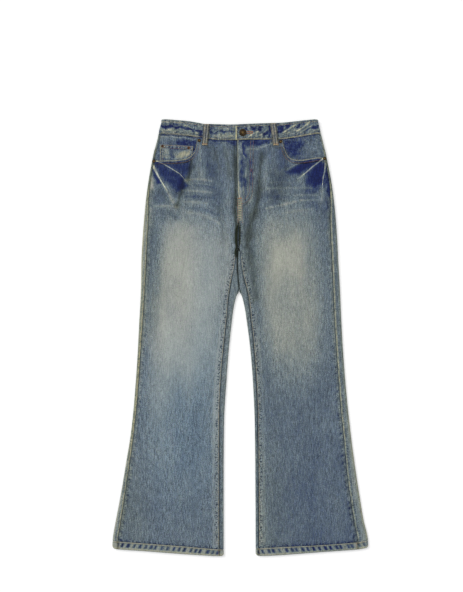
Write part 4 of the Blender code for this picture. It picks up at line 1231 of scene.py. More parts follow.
def yoke_rows(side, levels, width):
    """Rows whose depth changes across the underside; at(share) gives it for each row."""
    rows = []
    for at in levels:
        row, _ = side_row(side, at(0.0))
        for share in UNDER_SHARES:
            level = at(share)
            row.append((under_x(side, share, level), level, fold_low(level) + pocket_rise(share, level)))
        row += [(np.nan,) * 3] * (width - len(row))
        rows.append(row)
    return np.array(rows)


def yoke_seam(share):
    return mix(*YOKE_SEAM, share)


def under_relief(x, down):
    """Creases of the underside only go inwards, because the cloth lies on the table."""
    return -np.abs(add_folds(x, down, UNDER_FOLDS))


UNDER_PATCHES = Table("x down half_width half_length soft wear", [
    (-110.0, 210.0, 80.0, 90.0, 0.5, 0.16), (110.0, 210.0, 80.0, 90.0, 0.5, 0.13),
    (-130.0, 500.0, 60.0, 190.0, 0.6, 0.14), (130.0, 500.0, 60.0, 190.0, 0.6, 0.12),
    (-120.0, 350.0, 70.0, 16.0, 0.8, 0.07), (120.0, 355.0, 70.0, 16.0, 0.8, 0.07),
    (-190.0, 985.0, 60.0, 16.0, 0.8, 0.14), (190.0, 985.0, 60.0, 16.0, 0.8, 0.14),
])


def back_levels(first):
    """The depths of a back's rows, one of which lies where the legs part."""
    levels = first + (LEG_END - first) * np.delete(even(LEG_END - first), (1, 2))
    levels = np.sort(np.concatenate([levels[np.abs(levels - APEX) > 1.2], [APEX]]))
    return levels[np.abs(levels - CROTCH) > 0.8]


def side_strip_wear(side, down, along):
    """The strip beside the side seam, which shows on the front, is paler low on the leg."""
    wear = 0.24 * ease((down - 560) / 260) * ease((along - 4) / 7)
    if side == "right":
        wear += 0.24 * ease((down - 110) / 60) * (1 - 0.6 * ease((down - 330) / 110)) * ease((along - 2) / 5)
        wear += 0.03 * ease((down - 840) / 60)
    return wear


class Back:
    """The back of a leg and of half the seat, from the side seam round the folds to the inseam.

    Its methods work the seams into the cloth one by one, as those of Front do.
    """

    def __init__(self, side):
        self.side, self.sign = side, SIDES[side][0]
        first = POCKET_TOP - POCKET_RAMP

        def level_at(t):
            return lambda share: mix(yoke_seam(share) + SEAM_GAP, first, t)

        self.grid = back_grid(side, [level_at(t) for t in even(50.0)[:-3]], back_levels(first))
        self.x, self.down = x, down = self.grid[..., 0], self.grid[..., 1]
        self.along = along = arc(self.grid, 1)
        from_top = arc(self.grid, 0)
        self.from_hem = from_top[-1:] - from_top
        self.column = np.arange(self.grid.shape[1])[None, :]
        under = (self.column >= UNDER_START) & (self.column < UNDER_END)
        fold_at = along[:, STRIP - 1 + FOLD // 2][:, None]
        inner_fold = (along[:, UNDER_END - 1] + 3.0)[:, None]
        on_fold = near(along - fold_at, 5.5)
        if side == "right":
            on_fold *= 1 - 0.7 * ease((down - 740) / 160)
        on_inner = near(along - inner_fold, 4.5) * (down > APEX)
        wear = LEG_WEAR.at("wear", down) + (LEFT_LEG_TINT * 0.5 if side == "left" else 0)
        wear = add_patches(wear, x, down, UNDER_PATCHES)
        self.wear = np.where(under, wear - 0.02, wear - 0.05) + 0.12 * on_fold + 0.08 * on_inner
        self.warmth = 0.15 + 0.75 * on_fold + 0.4 * on_inner
        self.shade = np.zeros(x.shape)
        self.relief = under_relief(x, down) * under * ease((along - fold_at - 20) / 20)
        self.relief *= ease((inner_fold - along - 16) / 20)
        self.pucker = (self.column < UNDER_START) * lower_leg(down) * beside_seam(along + 1)

    def side_seam(self):
        """The strip beside the side seam has a rubbed edge with undyed spots."""
        down, seam = self.down, self.along
        edge_place = 1.8 + 0.7 * np.sin(down / 7) * ease((down - 500) / 200)
        self.wear += 0.34 * near(seam - edge_place, 2) * (self.column < STRIP - 1)
        spots = rope(down - 80, seam, 19.0, 3.2, 0.5, 51 + self.sign) * near(seam, 2.6)
        self.wear -= 0.3 * spots
        self.wear += (self.column < STRIP + 3) * side_strip_wear(self.side, down, seam)
        self.warmth += 0.6 * near(seam - 1.6, 2)
        self.relief += 0.3 * near(seam - 4, 3.5) * (1 - spots)
        self.relief -= edge_drop(seam, 0.5, 1.4)

    def inseam(self):
        """The strip beside the inseam is darker along its edge: less worn there, and with painted shade."""
        seam = self.along[:, -1:] - self.along
        self.wear -= 0.12 * near(seam, 1.4)
        self.shade += 0.4 * ease((self.down - 330) / 40) * near(seam, 1.4)
        self.relief -= edge_drop(np.where(self.down > CROTCH, seam, 99.0), 0.4, 1.2)
        self.pucker = np.maximum(self.pucker, (self.column >= UNDER_END) * 0.6 * beside_seam(seam + 2))

    def hem_seam(self):
        ropes = rope(self.x * self.sign + 14, self.from_hem, 13.6, 3.6, 0.8, 61 + self.sign)
        self.wear -= 0.22 * ropes * near(self.from_hem, 7)
        self.pucker = np.maximum(self.pucker, beside_seam(self.from_hem + 3.5))

    def crotch(self):
        """The strip beside the inseam starts deep in the slit between the fronts, darkened there with painted
        shade.
        """
        down, first = self.down, UNDER_END + FOLD - 2
        from_centre = self.along - self.along[:, first][:, None]
        sunk_to, crack = (321, 2.0) if self.side == "right" else (305, 1.3)
        sunk = np.maximum(1 - ease((down - sunk_to) / 9), near(from_centre, crack) * (down < APEX + 8))
        sunk *= self.column >= first
        self.relief -= 2.2 * sunk * (1 - 0.5 * ease((down - 345) / 40))
        self.wear += 0.06 * (self.column >= first) - 0.1 * sunk
        # Painted shade on the sunk part, in the slit.
        self.shade += 1.1 * sunk

    def sheet(self):
        grid = raised(self.grid, np.nan_to_num(self.relief), UNDER_START + 20, up=False)
        sheet_piece("back_" + self.side, grid, DENIM, denim, self.wear, np.clip(self.warmth, 0, 1),
                    self.shade, self.pucker, flip=self.sign < 0)


def back_piece(side):
    back = Back(side)
    for work in (back.side_seam, back.inseam, back.hem_seam, back.crotch, back.sheet):
        work()


def yoke_piece(side):
    sign = SIDES[side][0]

    def level_at(t):
        def level(share):
            x = mix(sign * BAND_FOLD_X, BACK_CENTRE, share)
            return mix(below_band(x) + SEAM_GAP, yoke_seam(share), t)
        return level

    grid = yoke_rows(side, [level_at(t) for t in even(36.0)], UNDER_END)
    x, down = grid[..., 0], grid[..., 1]
    along = arc(grid, 1)
    fold = near(along - along[:, STRIP + 3][:, None], 5)
    from_top = arc(grid, 0)
    edge = np.minimum(from_top, from_top[-1:] - from_top)
    wear = 0.44 + 0.12 * fold - 0.16 * near(from_top, 6) + 0 * down
    grid = raised(grid, -edge_drop(edge, 0.4, 1.3), STRIP + FOLD + 20, up=False)
    sheet_piece("yoke_" + side, grid, DENIM, denim, wear, 0.2 + 0.6 * fold, 0.0,
                beside_seam(edge + 1), flip=sign < 0)


def pocket_place(across, step):
    """A place of a back pocket: how far it lies towards the back's seam, and how far down."""
    share = mix(0.495, mix(POCKET_FROM, POCKET_TO, across), mix(1, 0.92, step))
    lowest = mix(POCKET_BOTTOM, POCKET_POINT, 1 - np.abs(2 * across - 1))
    return share, mix(POCKET_TOP + 1, lowest, step)


def back_pocket(side):
    """A plain patch pocket with a pointed lower edge."""
    across = even(150.0)
    steps = even(160.0)
    grid = np.zeros((len(steps), len(across), 3))
    for row, step in enumerate(steps):
        share, down = pocket_place(across, step)
        grid[row, :, 0] = under_x(side, share, down)
        grid[row, :, 1] = down
    edge = np.minimum(to_edge(arc(grid, 1), 1), to_edge(arc(grid, 0), 0))
    x, down = grid[..., 0], grid[..., 1]
    wear = add_patches(np.full(x.shape, 0.46), x, down, UNDER_PATCHES) + 0.12 * near(edge, 3)
    wear -= 0.1 * bump_of(edge - 9.0, 3)
    from_top = arc(grid, 0)
    relief = -edge_drop(edge, 0.2, 1.3) - 0.12 * bump_of(edge - 4.5, 1.6) - 0.12 * bump_of(from_top - 20, 3)
    grid = raised(grid, relief, len(across) // 2, up=False)
    warmth = 0.25 * near(edge, 3)
    sheet_piece("back_pocket_" + side, grid, DENIM, denim, wear, warmth, 0.0,
                beside_seam(edge + 1), flip=side == "right")


# ---- the pocket mouths


def facing_z(down):
    return mix(*FACING_Z, ease((down - YOKE_RAMP[0]) / 45))


def facing_piece(side):
    """The piece that shows in the pocket's mouth."""
    sign, _, _, _, mouth, _ = SIDES[side]
    inner = mouth.at("x", 0) - sign * 16
    across, steps = even(106.0, 2.4), even(76.0, 2.4)
    top_x = mix(inner, outer_x(side, 36) - sign * fold_radius(36), across)
    down = mix(below_band(top_x)[None, :] + SEAM_GAP, 114, steps[:, None])
    edge_x = outer_x(side, down) - sign * (fold_radius(down) + 0.6)
    x = mix(inner, edge_x, across[None, :])
    grid = np.stack([x, down, facing_z(down)], axis=-1)
    from_side = arc(grid, 1)
    from_side = from_side[:, -1:] - from_side
    from_top = arc(grid, 0)
    relief = 0.16 * np.sin(x / 17 + down / 11) * ease(from_side / 10) * ease(from_top / 10)
    wear = add_shapes(np.full(x.shape, 0.3), x, down, FACING_SHAPES)
    wear += 0.1 * near(from_side, 4) - 0.16 * near(from_top, 3)
    if side == "right":
        wear += 0.3 * bump_of(from_top - 5.5 - np.sin(x / 5) - 0.8 * np.sin(x / 2.3), 1.5)
    grid = raised(grid, relief)
    name = "pocket_facing_" + side
    sheet_piece(name, grid, FACING, pocket_denim, wear, 0.05, flip=sign < 0)


def coin_place(share, step):
    """A place of the coin pocket, at a share of the way to the side seam."""
    return mix(*COIN_X, share) - 6.0 * (1 - share) * step, mix(mix(*COIN_TOP, share), COIN_BOTTOM, step)


def coin_pocket():
    x, down = coin_place(even(79.0, 1.8)[None, :], even(47.0, 1.8)[:, None])
    grid = np.stack([x, down, facing_z(down) + SEAM_GAP + FACING], axis=-1)
    from_right = arc(grid, 1)
    from_left = from_right[:, -1:] - from_right
    from_top = arc(grid, 0)
    edge = np.minimum.reduce([from_right, from_left, from_top])
    relief = 0.35 * (1 - ease((from_top - 8) / 2.5)) + 0.25 * (1 - ease((edge - 6) / 2))
    relief -= edge_drop(edge, 0.5, 1.4)
    relief -= 0.2 * bump_of(edge - 3.0, 1)
    wear = add_shapes(np.full(x.shape, 0.34), x, down, COIN_SHAPES)
    wear += 0.2 * near(edge, 1.8) - 0.14 * bump_of(edge - 8.5, 2.6)
    dashes = rope(-x, from_top - 5, 8.6, 2.3, 0.3, 95)
    wear += (0.26 - 0.66 * dashes) * bump_of(from_top - 5.0, 2)
    warmth = 0.1 + 0.5 * ease((wear - 0.45) / 0.3)
    grid = raised(grid, relief)
    sheet_piece("coin_pocket", grid, FACING, pocket_denim, wear, warmth, 0.0,
                beside_seam(edge + 1.5), flip=True)


# ---- the waistband, its loops and the hems


def overlap_z(x):
    """The left end of the waistband climbs over its right one."""
    return BAND_Z + (BAND + SEAM_GAP) * (1 - ease((x - UNDERLAP_END - 3) / 28))


def band_grid():
    """The waistband, from its right end under the fly, round the back, to its left end."""
    radius = (BAND_Z - BAND_LOW) / 2
    heights = even(38.0, 1.6)[:, None]
    blocks = []

    def block(x, look_up, z):
        low = ease((BAND_Z - z) / 1.5)
        top, bottom = BAND_EDGES.at("top", look_up) + 1.2 * low, BAND_EDGES.at("bottom", look_up)
        down = mix(top, bottom, heights)
        blocks.append(np.stack([x(down), down, z + 0 * down], axis=-1))

    def flat(x, z):
        block(lambda down: x + 0 * down, x, z)

    def along(start, end):
        return mix(start, end, even(abs(end - start), 2.0))[None, :]

    def to_fold(side, inward):
        sign = SIDES[side][0]
        t = np.linspace(0, 1, 6)[1:-1][None, :]
        t = t if inward else t[:, ::-1]
        block(lambda down: mix(sign * BAND_FLAT_X, outer_x(side, down) - sign * radius, t),
              sign * mix(BAND_FLAT_X, BAND_FOLD_X, t), BAND_Z + 0 * t)

    def round_fold(side, turns):
        sign = SIDES[side][0]
        turn = np.radians(turns)[None, :]
        block(lambda down: outer_x(side, down) - sign * radius * (1 - np.cos(turn)),
              sign * BAND_FOLD_X + 0 * turn, BAND_LOW + radius + radius * np.sin(turn))

    flat(along(UNDERLAP_END, -BAND_FLAT_X), BAND_Z)
    to_fold("right", True)
    round_fold("right", np.linspace(90, -90, 11))
    flat(np.linspace(-172, 172, 150)[None, :], BAND_LOW)
    round_fold("left", np.linspace(-90, 90, 11))
    to_fold("left", False)
    lap = along(BAND_FLAT_X, OVERLAP_END)
    flat(lap, overlap_z(lap))
    grid = np.concatenate(blocks, axis=1)
    overlap = np.arange(grid.shape[1])[None, :] > grid.shape[1] * 0.6
    corner = overlap * np.clip((OVERLAP_END + 9 - grid[..., 0]) / 9, 0, 1) ** 2 * (1 - heights) ** 2
    grid[..., 1] += 5.0 * corner
    return grid, overlap


def waistband():
    grid, overlap = band_grid()
    x, down, z = grid[..., 0], grid[..., 1], grid[..., 2]
    from_end = to_edge(arc(grid, 1), 1)
    from_top = arc(grid, 0)
    from_bottom = from_top[-1:] - from_top
    edge = np.minimum.reduce([from_top, from_bottom, from_end])
    front = ease(z - BAND_Z + 1)
    marked = add_lines(add_shapes(np.zeros(x.shape), x, down, WAIST_SHAPES), x, down, WAIST_LINES)
    strength = np.where(x > -12, 1.45, 1.25 - 0.4 * ease((x + 80) / 12))
    marked = np.where(x > -12, 0.37, 0.44) + strength * marked
    behind = 0.44 + 0.14 * np.sin(x / 9 + np.sin(x / 23) * 3) * np.sin(down / 7 + x / 31)
    wear = mix(behind, marked, front)
    wear += 0.06 * near(edge, 1.2) - 0.16 * rope(x + 200, down, 9.5, 2.2, 0.9, 91) * bump_of(from_top - 9, 3)
    wear -= 0.24 * rope(x + 203, down, 7.5, 2.0, -0.9, 92) * bump_of(from_bottom - 5.5, 2.6)
    wear += 0.1 * near(from_bottom, 1) + 0.3 * front * overlap * near(from_bottom, 1.6, 4)
    wear += 0.12 * near(from_bottom - 10, 3) * front
    puckers = np.sin((x + down * 0.9) / 2.1) * np.sin(x / 13 + 1.7)
    relief = 0.16 * puckers * (bump_of(from_top - 5, 5) + bump_of(from_bottom - 5, 5))
    relief += 0.3 * near(from_top - 18, 11, 4) - 0.22 * bump_of(from_top - 5.4, 1.2)
    relief += 1.6 * front * (marked - 0.44)
    relief -= 0.22 * bump_of(from_bottom - 2.6, 1)
    relief -= edge_drop(edge, 0.7, 1.8)
    relief *= np.where(z < BAND_Z - 0.3, 0.6, 1.0)
    left_end = overlap * near(x - OVERLAP_END - 0.8, 2.2) * (z > BAND_Z + 1)
    wear = np.maximum(wear, left_end)
    warmth = 0.26 + 0.3 * near(edge, 2) + 0.2 * ease((wear - 0.42) / 0.25) + 0.3 * left_end
    grid = raised(grid, relief, 5)
    hole = overlap & (np.hypot(x - BUTTON_X, down - BUTTON_DOWN) < 3.1)
    grid[hole] = np.nan
    sheet_piece("waistband", grid, BAND, band_denim, wear, np.clip(warmth, 0, 1), 0.0,
                beside_seam(edge + 1), flip=True)


def belt_loop(name, x_top, x_bottom, top, bottom, front=True):
    """A folded strip, arched over the waistband and sewn down at both ends."""
    half = 7.0
    edge = BAND_EDGES.at("bottom", x_top)
    if front:
        high, low = BAND_Z + 0.5 + LOOP, 6.1 + SEAM_GAP + LOOP
        downs = [top, top + 4, mix(top, edge, 0.5), edge - 4, edge + 4, edge + 9, bottom]
        levels = [high - 0.2, high, high + 0.6, high, mix(high, low, 0.6), low, low]
        profile = Table("down z", list(zip(downs, levels)))
    across, steps = even(2 * half, 1.1), even(bottom - top, 1.6)
    down = mix(top, bottom, steps)[:, None] + 0 * across[None, :]
    x = mix(x_top, x_bottom, steps)[:, None] + half * (2 * across[None, :] - 1)
    z = profile.at("z", down) if front else 0 * down
    grid = np.stack([x, down, z], axis=-1)
    from_side = to_edge(arc(grid, 1), 1)
    from_end = to_edge(arc(grid, 0), 0)
    ridges = bump_of(from_side - 4.0, 1.3)
    ripple = 0.12 * np.sin(down / 1.9 + x / 3)
    relief = 0.45 * ridges + ripple * ridges - edge_drop(np.minimum(from_side, from_end), 0.45, 1.3)
    relief -= 0.35 * bump_of(from_end - 2.2, 1.6)
    if not front:
        relief = np.maximum(np.minimum(relief - 0.45, 0), -0.22)
    wear = 0.4 + 0.26 * ridges - 0.1 * bump_of(from_side - 7.0, 1.6) + 0.05 * np.sin(down / 4.3 + x_top)
    wear += 0.08 * near(from_side, 1.2)
    # Painted shade along both edges and down the middle of the loop, and a little over all of it.
    shade = 0.6 * bump_of(from_side - 1.2, 1.2) + 0.3 * bump_of(from_side - 7.0, 1.5) + 0.1
    grid = raised(grid, relief, len(across) // 2, up=front)
    loop = sheet_piece(name, grid, LOOP, loop_denim, wear, 0.3, shade, flip=not front)


def hem_ring(side):
    """The turned-up end of a leg: a flat tube, pulled into slanted ropes."""
    sign, _, inside, inseam, _, hem = SIDES[side]
    radius = HEM_Z / 2
    flat = np.linspace(0, 1, 120)
    turns = np.radians(np.linspace(66, -66, 7))
    rows = []
    heights = even(HEM_HEIGHT, 1.7)
    for height in heights:
        level = mix(LEG_END, LEG_END + 12, height)
        outer = outer_x(side, level) - sign * radius
        inner = inside.at("inner", level) + sign * radius
        x = np.concatenate([mix(inner, outer, flat), outer + sign * radius * np.cos(turns),
                            mix(outer, inner, flat), inner - sign * radius * np.cos(turns)])
        z = np.concatenate([HEM_Z + 0 * flat, radius + radius * np.sin(turns), 0 * flat,
                            radius - radius * np.sin(turns)])
        down = mix(hem.at("top", x), hem.at("bottom", x), height)
        rows.append(np.stack([x, down, z], axis=-1))
    grid = np.array(rows)
    near_end = np.maximum(grid[..., 0] - grid[..., 0].max(axis=1, keepdims=True) + 5,
                          grid[..., 0].min(axis=1, keepdims=True) + 5 - grid[..., 0])
    grid[..., 1] -= 3.4 * (np.clip(near_end, 0, 5) / 5) ** 2 * heights[:, None] ** 2
    x, down, z = grid[..., 0], grid[..., 1], grid[..., 2]
    from_top = arc(grid, 0)
    from_bottom = from_top[-1:] - from_top
    upper = ease((z - 1.0) / 2)
    ropes = rope(x * sign + 20, from_top - 6, 13.2, 3.9, 0.45, 71 + sign, 3, 0.8)
    side_seam, inseam_x = outseam_x(side, LEG_END), inseam.at("x", LEG_END)
    ropes *= 1 - ease((sign * (x - side_seam) + 1.5) / 3) * (1 if side == "right" else 0.4)
    ropes *= ease((sign * (x - inseam_x) + 3) / 3)
    band = near(from_top - 7.6, 5.2, 6)
    relief = (0.6 * (0.4 - ropes) * band - 0.2 * bump_of(from_top - 1.6, 1.2)) * upper
    relief -= edge_drop(np.minimum(from_top, from_bottom), 0.6, 1.8)
    relief = np.where(z < 1.0, np.minimum(relief, 0), relief)
    tint = 0
    if side == "left":
        tint = LEFT_LEG_TINT * 0.5 - 0.07 * ease((x - 120) / 50) * (1 - ease((x - 245) / 30))
    wear = 0.69 + tint - 0.74 * ropes * band
    wear += 0.12 * bump_of(from_bottom - 2.6, 1.6) - 0.22 * near(from_bottom, 1)
    wear += 0.06 * ease((sign * (x - side_seam) - 1) / 4) * upper
    crossing = np.maximum(bump_of(x - side_seam - sign * 0.5, 2.2), bump_of(x - inseam_x, 2)) * upper
    # Darker lines where the seams cross; painted shade in the groove under the upper edge and in the hollows
    # between the ropes.
    shade = 0.8 * crossing + 0.45 * bump_of(from_top - 2.6, 0.8) * upper + 0.14 * ropes * band
    warmth = 0.3 + 0.35 * bump_of(from_bottom - 2.0, 2.4) - 0.2 * ropes
    grid = raised(grid, relief, 20)
    sheet_piece("hem_" + side, grid, HEM, denim, wear, np.clip(warmth, 0, 1), shade,
                flip=sign < 0, closed=True)


def fly_zip():
    """The closed zip under the fly: tape with the chain as a low ridge."""
    steps, across = even(ZIP_TO - ZIP_FROM), even(ZIP_WIDTH, 1.2)
    down = mix(ZIP_FROM, ZIP_TO, steps)[:, None] + 0 * across[None, :]
    x = centre_x(down) + 1 + ZIP_WIDTH / 2 * (2 * across[None, :] - 1)
    grid = np.stack([x, down, 3.2 + 0 * down], axis=-1)
    from_side = to_edge(arc(grid, 1), 1)
    grid = raised(grid, 0.14 * ease(from_side - 9.5) * (0.6 + 0.4 * np.sin(down * 4.2)))
    tape = sheet_piece("fly_zip", grid, 1.0, zip_cloth, np.full(x.shape, 0.05))


# ---- sewing


class Sewing:
    """The stitches of one thread, gathered into one piece."""

    def __init__(self, seed):
        self.points, self.faces, self.tones = [], [], []
        self.chance = np.random.default_rng(seed)

    def stitch(self, ends, on, under, width):
        """One stitch that lies on the cloth, sunk in at both ends."""
        (x0, down0), (x1, down1) = ends
        places = []
        for t in (0.0, 0.22, 0.78, 1.0):
            x, down = mix(x0, x1, t), mix(down0, down1, t)
            top = height_on(on, x, down, under)
            if top is None:
                return
            places.append((x, down, top))
        way = np.array([x1 - x0, down1 - down0]) / max(math.hypot(x1 - x0, down1 - down0), 1e-6)
        side = np.array([-way[1], way[0], 0])
        away = np.array([0, 0, -1.0 if under else 1.0])
        tone = float(self.chance.uniform(0, 1))
        base = len(self.points)
        rounds = [(-0.5, -0.12), (-0.28, 0.38), (0.28, 0.38), (0.5, -0.12)]
        self.points.append(np.array(places[0]) - away * 0.2)
        for place in places[1:3]:
            self.points += [np.array(place) + side * width * across + away * rise for across, rise in rounds]
        self.points.append(np.array(places[3]) - away * 0.2)
        self.tones += [tone] * 10
        here, there = [base + 1 + i for i in range(4)], [base + 5 + i for i in range(4)]
        self.faces += [(here[i], here[(i + 1) % 4], there[(i + 1) % 4], there[i]) for i in range(4)]
        self.faces += [(base, here[(i + 1) % 4], here[i]) for i in range(4)]
        self.faces += [(base + 9, there[i], there[(i + 1) % 4]) for i in range(4)]

    def row(self, path, on, under=False, pitch=3.2, gap=0.8, width=0.9):
        """Stitches all along a path of (x, down) points."""
        path = np.array(path, float)
        length = np.concatenate([[0], np.cumsum(np.hypot(*np.diff(path, axis=0).T))])
        starts = np.arange(0.3, length[-1] - pitch * 0.7, pitch)
        for start in starts:
            ends = [(np.interp(at, length, path[:, 0]), np.interp(at, length, path[:, 1]))
                    for at in (start, start + pitch - gap)]
            self.stitch(ends, on, under, width)

    def bar(self, start, end, on, under=False, reach=2.4, pitch=0.8):
        """A tight bar of short stitches across the line from start to end."""
        start, end = np.array(start, float), np.array(end, float)
        length = np.hypot(*(end - start))
        way = (end - start) / length
        across = np.array([-way[1], way[0]]) * reach / 2
        for at in np.arange(0, length + 0.01, pitch):
            middle = start + way * at
            self.stitch((middle - across, middle + across), on, under, 0.75)

    def finish(self, name, material):
        points = to_metres(np.array(self.points))
        mesh = new_mesh(name, points, self.faces, material, [("tone", np.array(self.tones))])
        shape = bmesh.new()
        shape.from_mesh(mesh)
        bmesh.ops.recalc_face_normals(shape, faces=shape.faces)
        shape.to_mesh(mesh)
        shape.free()
        new_piece(name, mesh)


def height_on(names, x, down, under):
    """Height of the outermost of these pieces at a place, seen from above or from below."""
    way = 1 if under else -1
    origin = Vector(to_metres(np.array([x, down, -way * 60.0])))
    hits = [surfaces[name].ray_cast(origin, Vector((0, 0, way))) for name in names]
    heights = [hit[0].z / MM for hit in hits if hit[0] is not None]
    if not heights:
        return None
    return min(heights) if under else max(heights)


def shifted(path, distance):
    """A path moved sideways, to its right as it runs down the page when distance is above 0."""
    path = np.array(path, float)
    way = np.gradient(path, axis=0)
    way /= np.hypot(way[:, 0], way[:, 1])[:, None]
    return path + distance * np.stack([way[:, 1], -way[:, 0]], axis=-1)


def line_of(function, start, end, step=4.0):
    downs = np.linspace(start, end, max(int(abs(end - start) / step), 2) + 1)
    return np.stack([function(downs), downs], axis=-1)


def across_of(function, start, end, step=4.0):
    xs = np.linspace(start, end, max(int(abs(end - start) / step), 2) + 1)
    return np.stack([xs, function(xs)], axis=-1)


# The two stitched curves of the fly.
J_OUTER = [(30.2, 50.5), (28.3, 166.4), (27.6, 176.7), (25.2, 183.5), (21.5, 188.7), (12.6, 196.2),
           (0.5, 200.2)]
J_INNER = [(23.9, 50.5), (21.9, 160), (21.2, 171), (18.6, 178.4), (13.5, 184.5), (7, 189.5), (-1, 192.5)]
LOOPS = (
    ("belt_loop_front_right", -79.3, -83.8, 11.8, 62.0, True),
    ("belt_loop_front_left", 76.5, 83.5, 10.2, 62.5, True),
    ("belt_loop_back_right", -120, -120, 8.0, 54.0, False),
    ("belt_loop_back_centre", BACK_CENTRE, BACK_CENTRE, 14.0, 60.0, False),
    ("belt_loop_back_left", 118, 118, 8.0, 54.0, False),
)


def hem_line(side, inner, outer):
    """The line along the upper edge of a hem, between two distances from the middle."""
    sign, hem = SIDES[side][0], SIDES[side][5]
    return across_of(lambda x: hem.at("top", x) + 1.5, *sorted((sign * inner, sign * outer)))


def sew_leg_front(side, beige, brown):
    """The edge of the pocket's mouth, the inseam and the hem with its two crossing seams."""
    sign, _, _, inseam, mouth, hem = SIDES[side]
    steps = np.linspace(0, 8, 60)
    edge = np.stack([mouth.at("x", steps), mouth.at("down", steps)], axis=-1)
    beige.row(shifted(edge, -sign * 1.6)[1:-2], ["front_" + side])
    brown.row(shifted(edge, -sign * 7.2)[1:-2], ["front_" + side])
    line = line_of(lambda down: inseam.at("x", down) + sign * 2.9, 322, 1003)
    beige.row(line, ["front_" + side], width=0.95)
    beige.row(hem_line(side, 41.5, 296), ["hem_" + side])
    for across in (outseam_x(side, LEG_END) - sign * 2.6, inseam.at("x", LEG_END) + sign * 2.4):
        lowest = hem.at("bottom", across)
        brown.row([(across, lowest - 15.2), (across, lowest - 1.2)], ["hem_" + side])


def sew_coin_pocket(beige, orange, brown):
    for share, inwards in ((0, -1), (1, 1)):
        for distance in (1.7, 7.2):
            edge = [coin_place(share, t) for t in np.linspace(0.05, 1, 12)]
            beige.row([(x + inwards * distance, down) for x, down in edge], ["coin_pocket"])
    for thread, distance in ((orange, 1.7), (brown, 7.8)):
        top_line = [(mix(-112, -188, t), mix(*COIN_TOP, t) + distance) for t in np.linspace(0, 1, 12)]
        thread.row(top_line, ["coin_pocket"])


def sew_front():
    beige, orange, brown = Sewing(5), Sewing(6), Sewing(9)
    fronts = ["front_left", "front_right"]
    for start, end in ((-186, -13), (-7.6, 184)):
        for edge, distance in (("top", 5.4), ("bottom", -2.2)):
            beige.row(across_of(lambda x: BAND_EDGES.at(edge, x) + distance, start, end), ["waistband"])
    beige.row(line_of(lambda down: -8.4 + 0 * down, 18.5, 46.0), ["waistband"])
    brown.row(J_OUTER, ["front_left"])
    brown.row(J_INNER, ["front_left"])
    for side in SIDES:
        sew_leg_front(side, beige, brown)
    for place in (-6.4, 3.6):
        orange.row([(place, 190), (place + 0.6, 244)], fronts, width=1.0)
    for down in np.arange(192, 238, 5.6):
        beige.stitch(((-5.2, down), (2.4, down + 0.3)), fronts, False, 1.2)
    sew_coin_pocket(beige, orange, brown)
    for name, x_top, x_bottom, top, bottom, in_front in LOOPS:
        if in_front:
            for thread, reach, down in ((beige, 3.0, bottom - 2.2), (orange, 0.9, bottom - 3.9)):
                thread.bar((x_bottom - 5.6, down), (x_bottom + 5.6, down), [name], reach=reach)
            beige.bar((x_top - 5.2, top + 1.2), (x_top + 5.2, top + 1.2), [name], reach=1.4)
    orange.bar((-6.0, 186.0), (3.4, 186.0), fronts, reach=3.0)
    brown.bar((25.0, 117.0), (25.0, 123.0), ["front_left"], reach=1.8)
    for rise in (-1.9, 1.9):
        orange.bar((14.6, 31.8 + rise), (27.6, 31.6 + rise), ["waistband"], reach=2.4)
    orange.bar((28.4, 29.9), (28.4, 33.6), ["waistband"], reach=2.6)
    beige.finish("front_stitches", beige_thread)
    orange.finish("front_bartacks", orange_thread)
    brown.finish("front_brown_stitches", brown_thread)


def sew_leg_back(side, beige):
    """The seam below the yoke, the edges of the back pocket and the hem."""
    def row(shares, piece):
        beige.row([(under_x(side, share, down), down) for share, down in shares], [piece + side], True)

    down_side, along_end = np.linspace(0.02, 1, 20), np.linspace(0, 1, 20)[1:]
    outline = [(0, t) for t in down_side] + [(t, 1) for t in along_end]
    outline += [(1, t) for t in np.linspace(1, 0.02, 20)[1:]]
    for distance in (2.0, 8.0):
        row([(share, yoke_seam(share) + distance) for share in np.linspace(0.02, 0.99, 30)], "back_")
        inside, shorter = distance / 150, 1 - distance * 1.1 / 155
        row([pocket_place(mix(inside, 1 - inside, across), step * shorter) for across, step in outline],
            "back_pocket_")
        row([(mix(POCKET_FROM + 0.01, POCKET_TO - 0.01, t), POCKET_TOP + 10 + distance)
             for t in np.linspace(0, 1, 12)], "back_pocket_")
    beige.row(hem_line(side, 44, 292), ["hem_" + side], True)


def sew_back():
    beige, orange = Sewing(7), Sewing(8)
    for edge, distance in (("top", 6.6), ("bottom", -2.2)):
        beige.row(across_of(lambda x: BAND_EDGES.at(edge, x) + distance, -180, 180), ["waistband"], True)
    for side in SIDES:
        sew_leg_back(side, beige)
    for distance in (2.2, 8.4):
        beige.row(line_of(lambda down: BACK_CENTRE + distance + 0 * down, 112, 388), ["back_left"], True)
    for name, x, _, top, bottom, in_front in LOOPS:
        if not in_front:
            for down in (top + 2.4, bottom - 2.4):
                orange.bar((x - 5.6, down), (x + 5.6, down), [name], True, reach=2.6)
    beige.finish("back_stitches", beige_thread)
    orange.finish("back_bartacks", orange_thread)


# ---- the metal pieces


def let_go():
    for obj in bpy.context.selected_objects:
        obj.select_set(False)


def select_flat(obj, up):
    """Select the one flat end of a round piece that faces up or down."""
    bpy.ops.object.mode_set(mode="EDIT")
    bpy.ops.mesh.select_mode(type="FACE")
    bpy.ops.mesh.select_all(action="DESELECT")
    shape = bmesh.from_edit_mesh(obj.data)
    ends = [face for face in shape.faces if face.normal.z * up > 0.99]
    max(ends, key=lambda face: face.calc_center_median().z * up).select_set(True)
    bmesh.update_edit_mesh(obj.data)


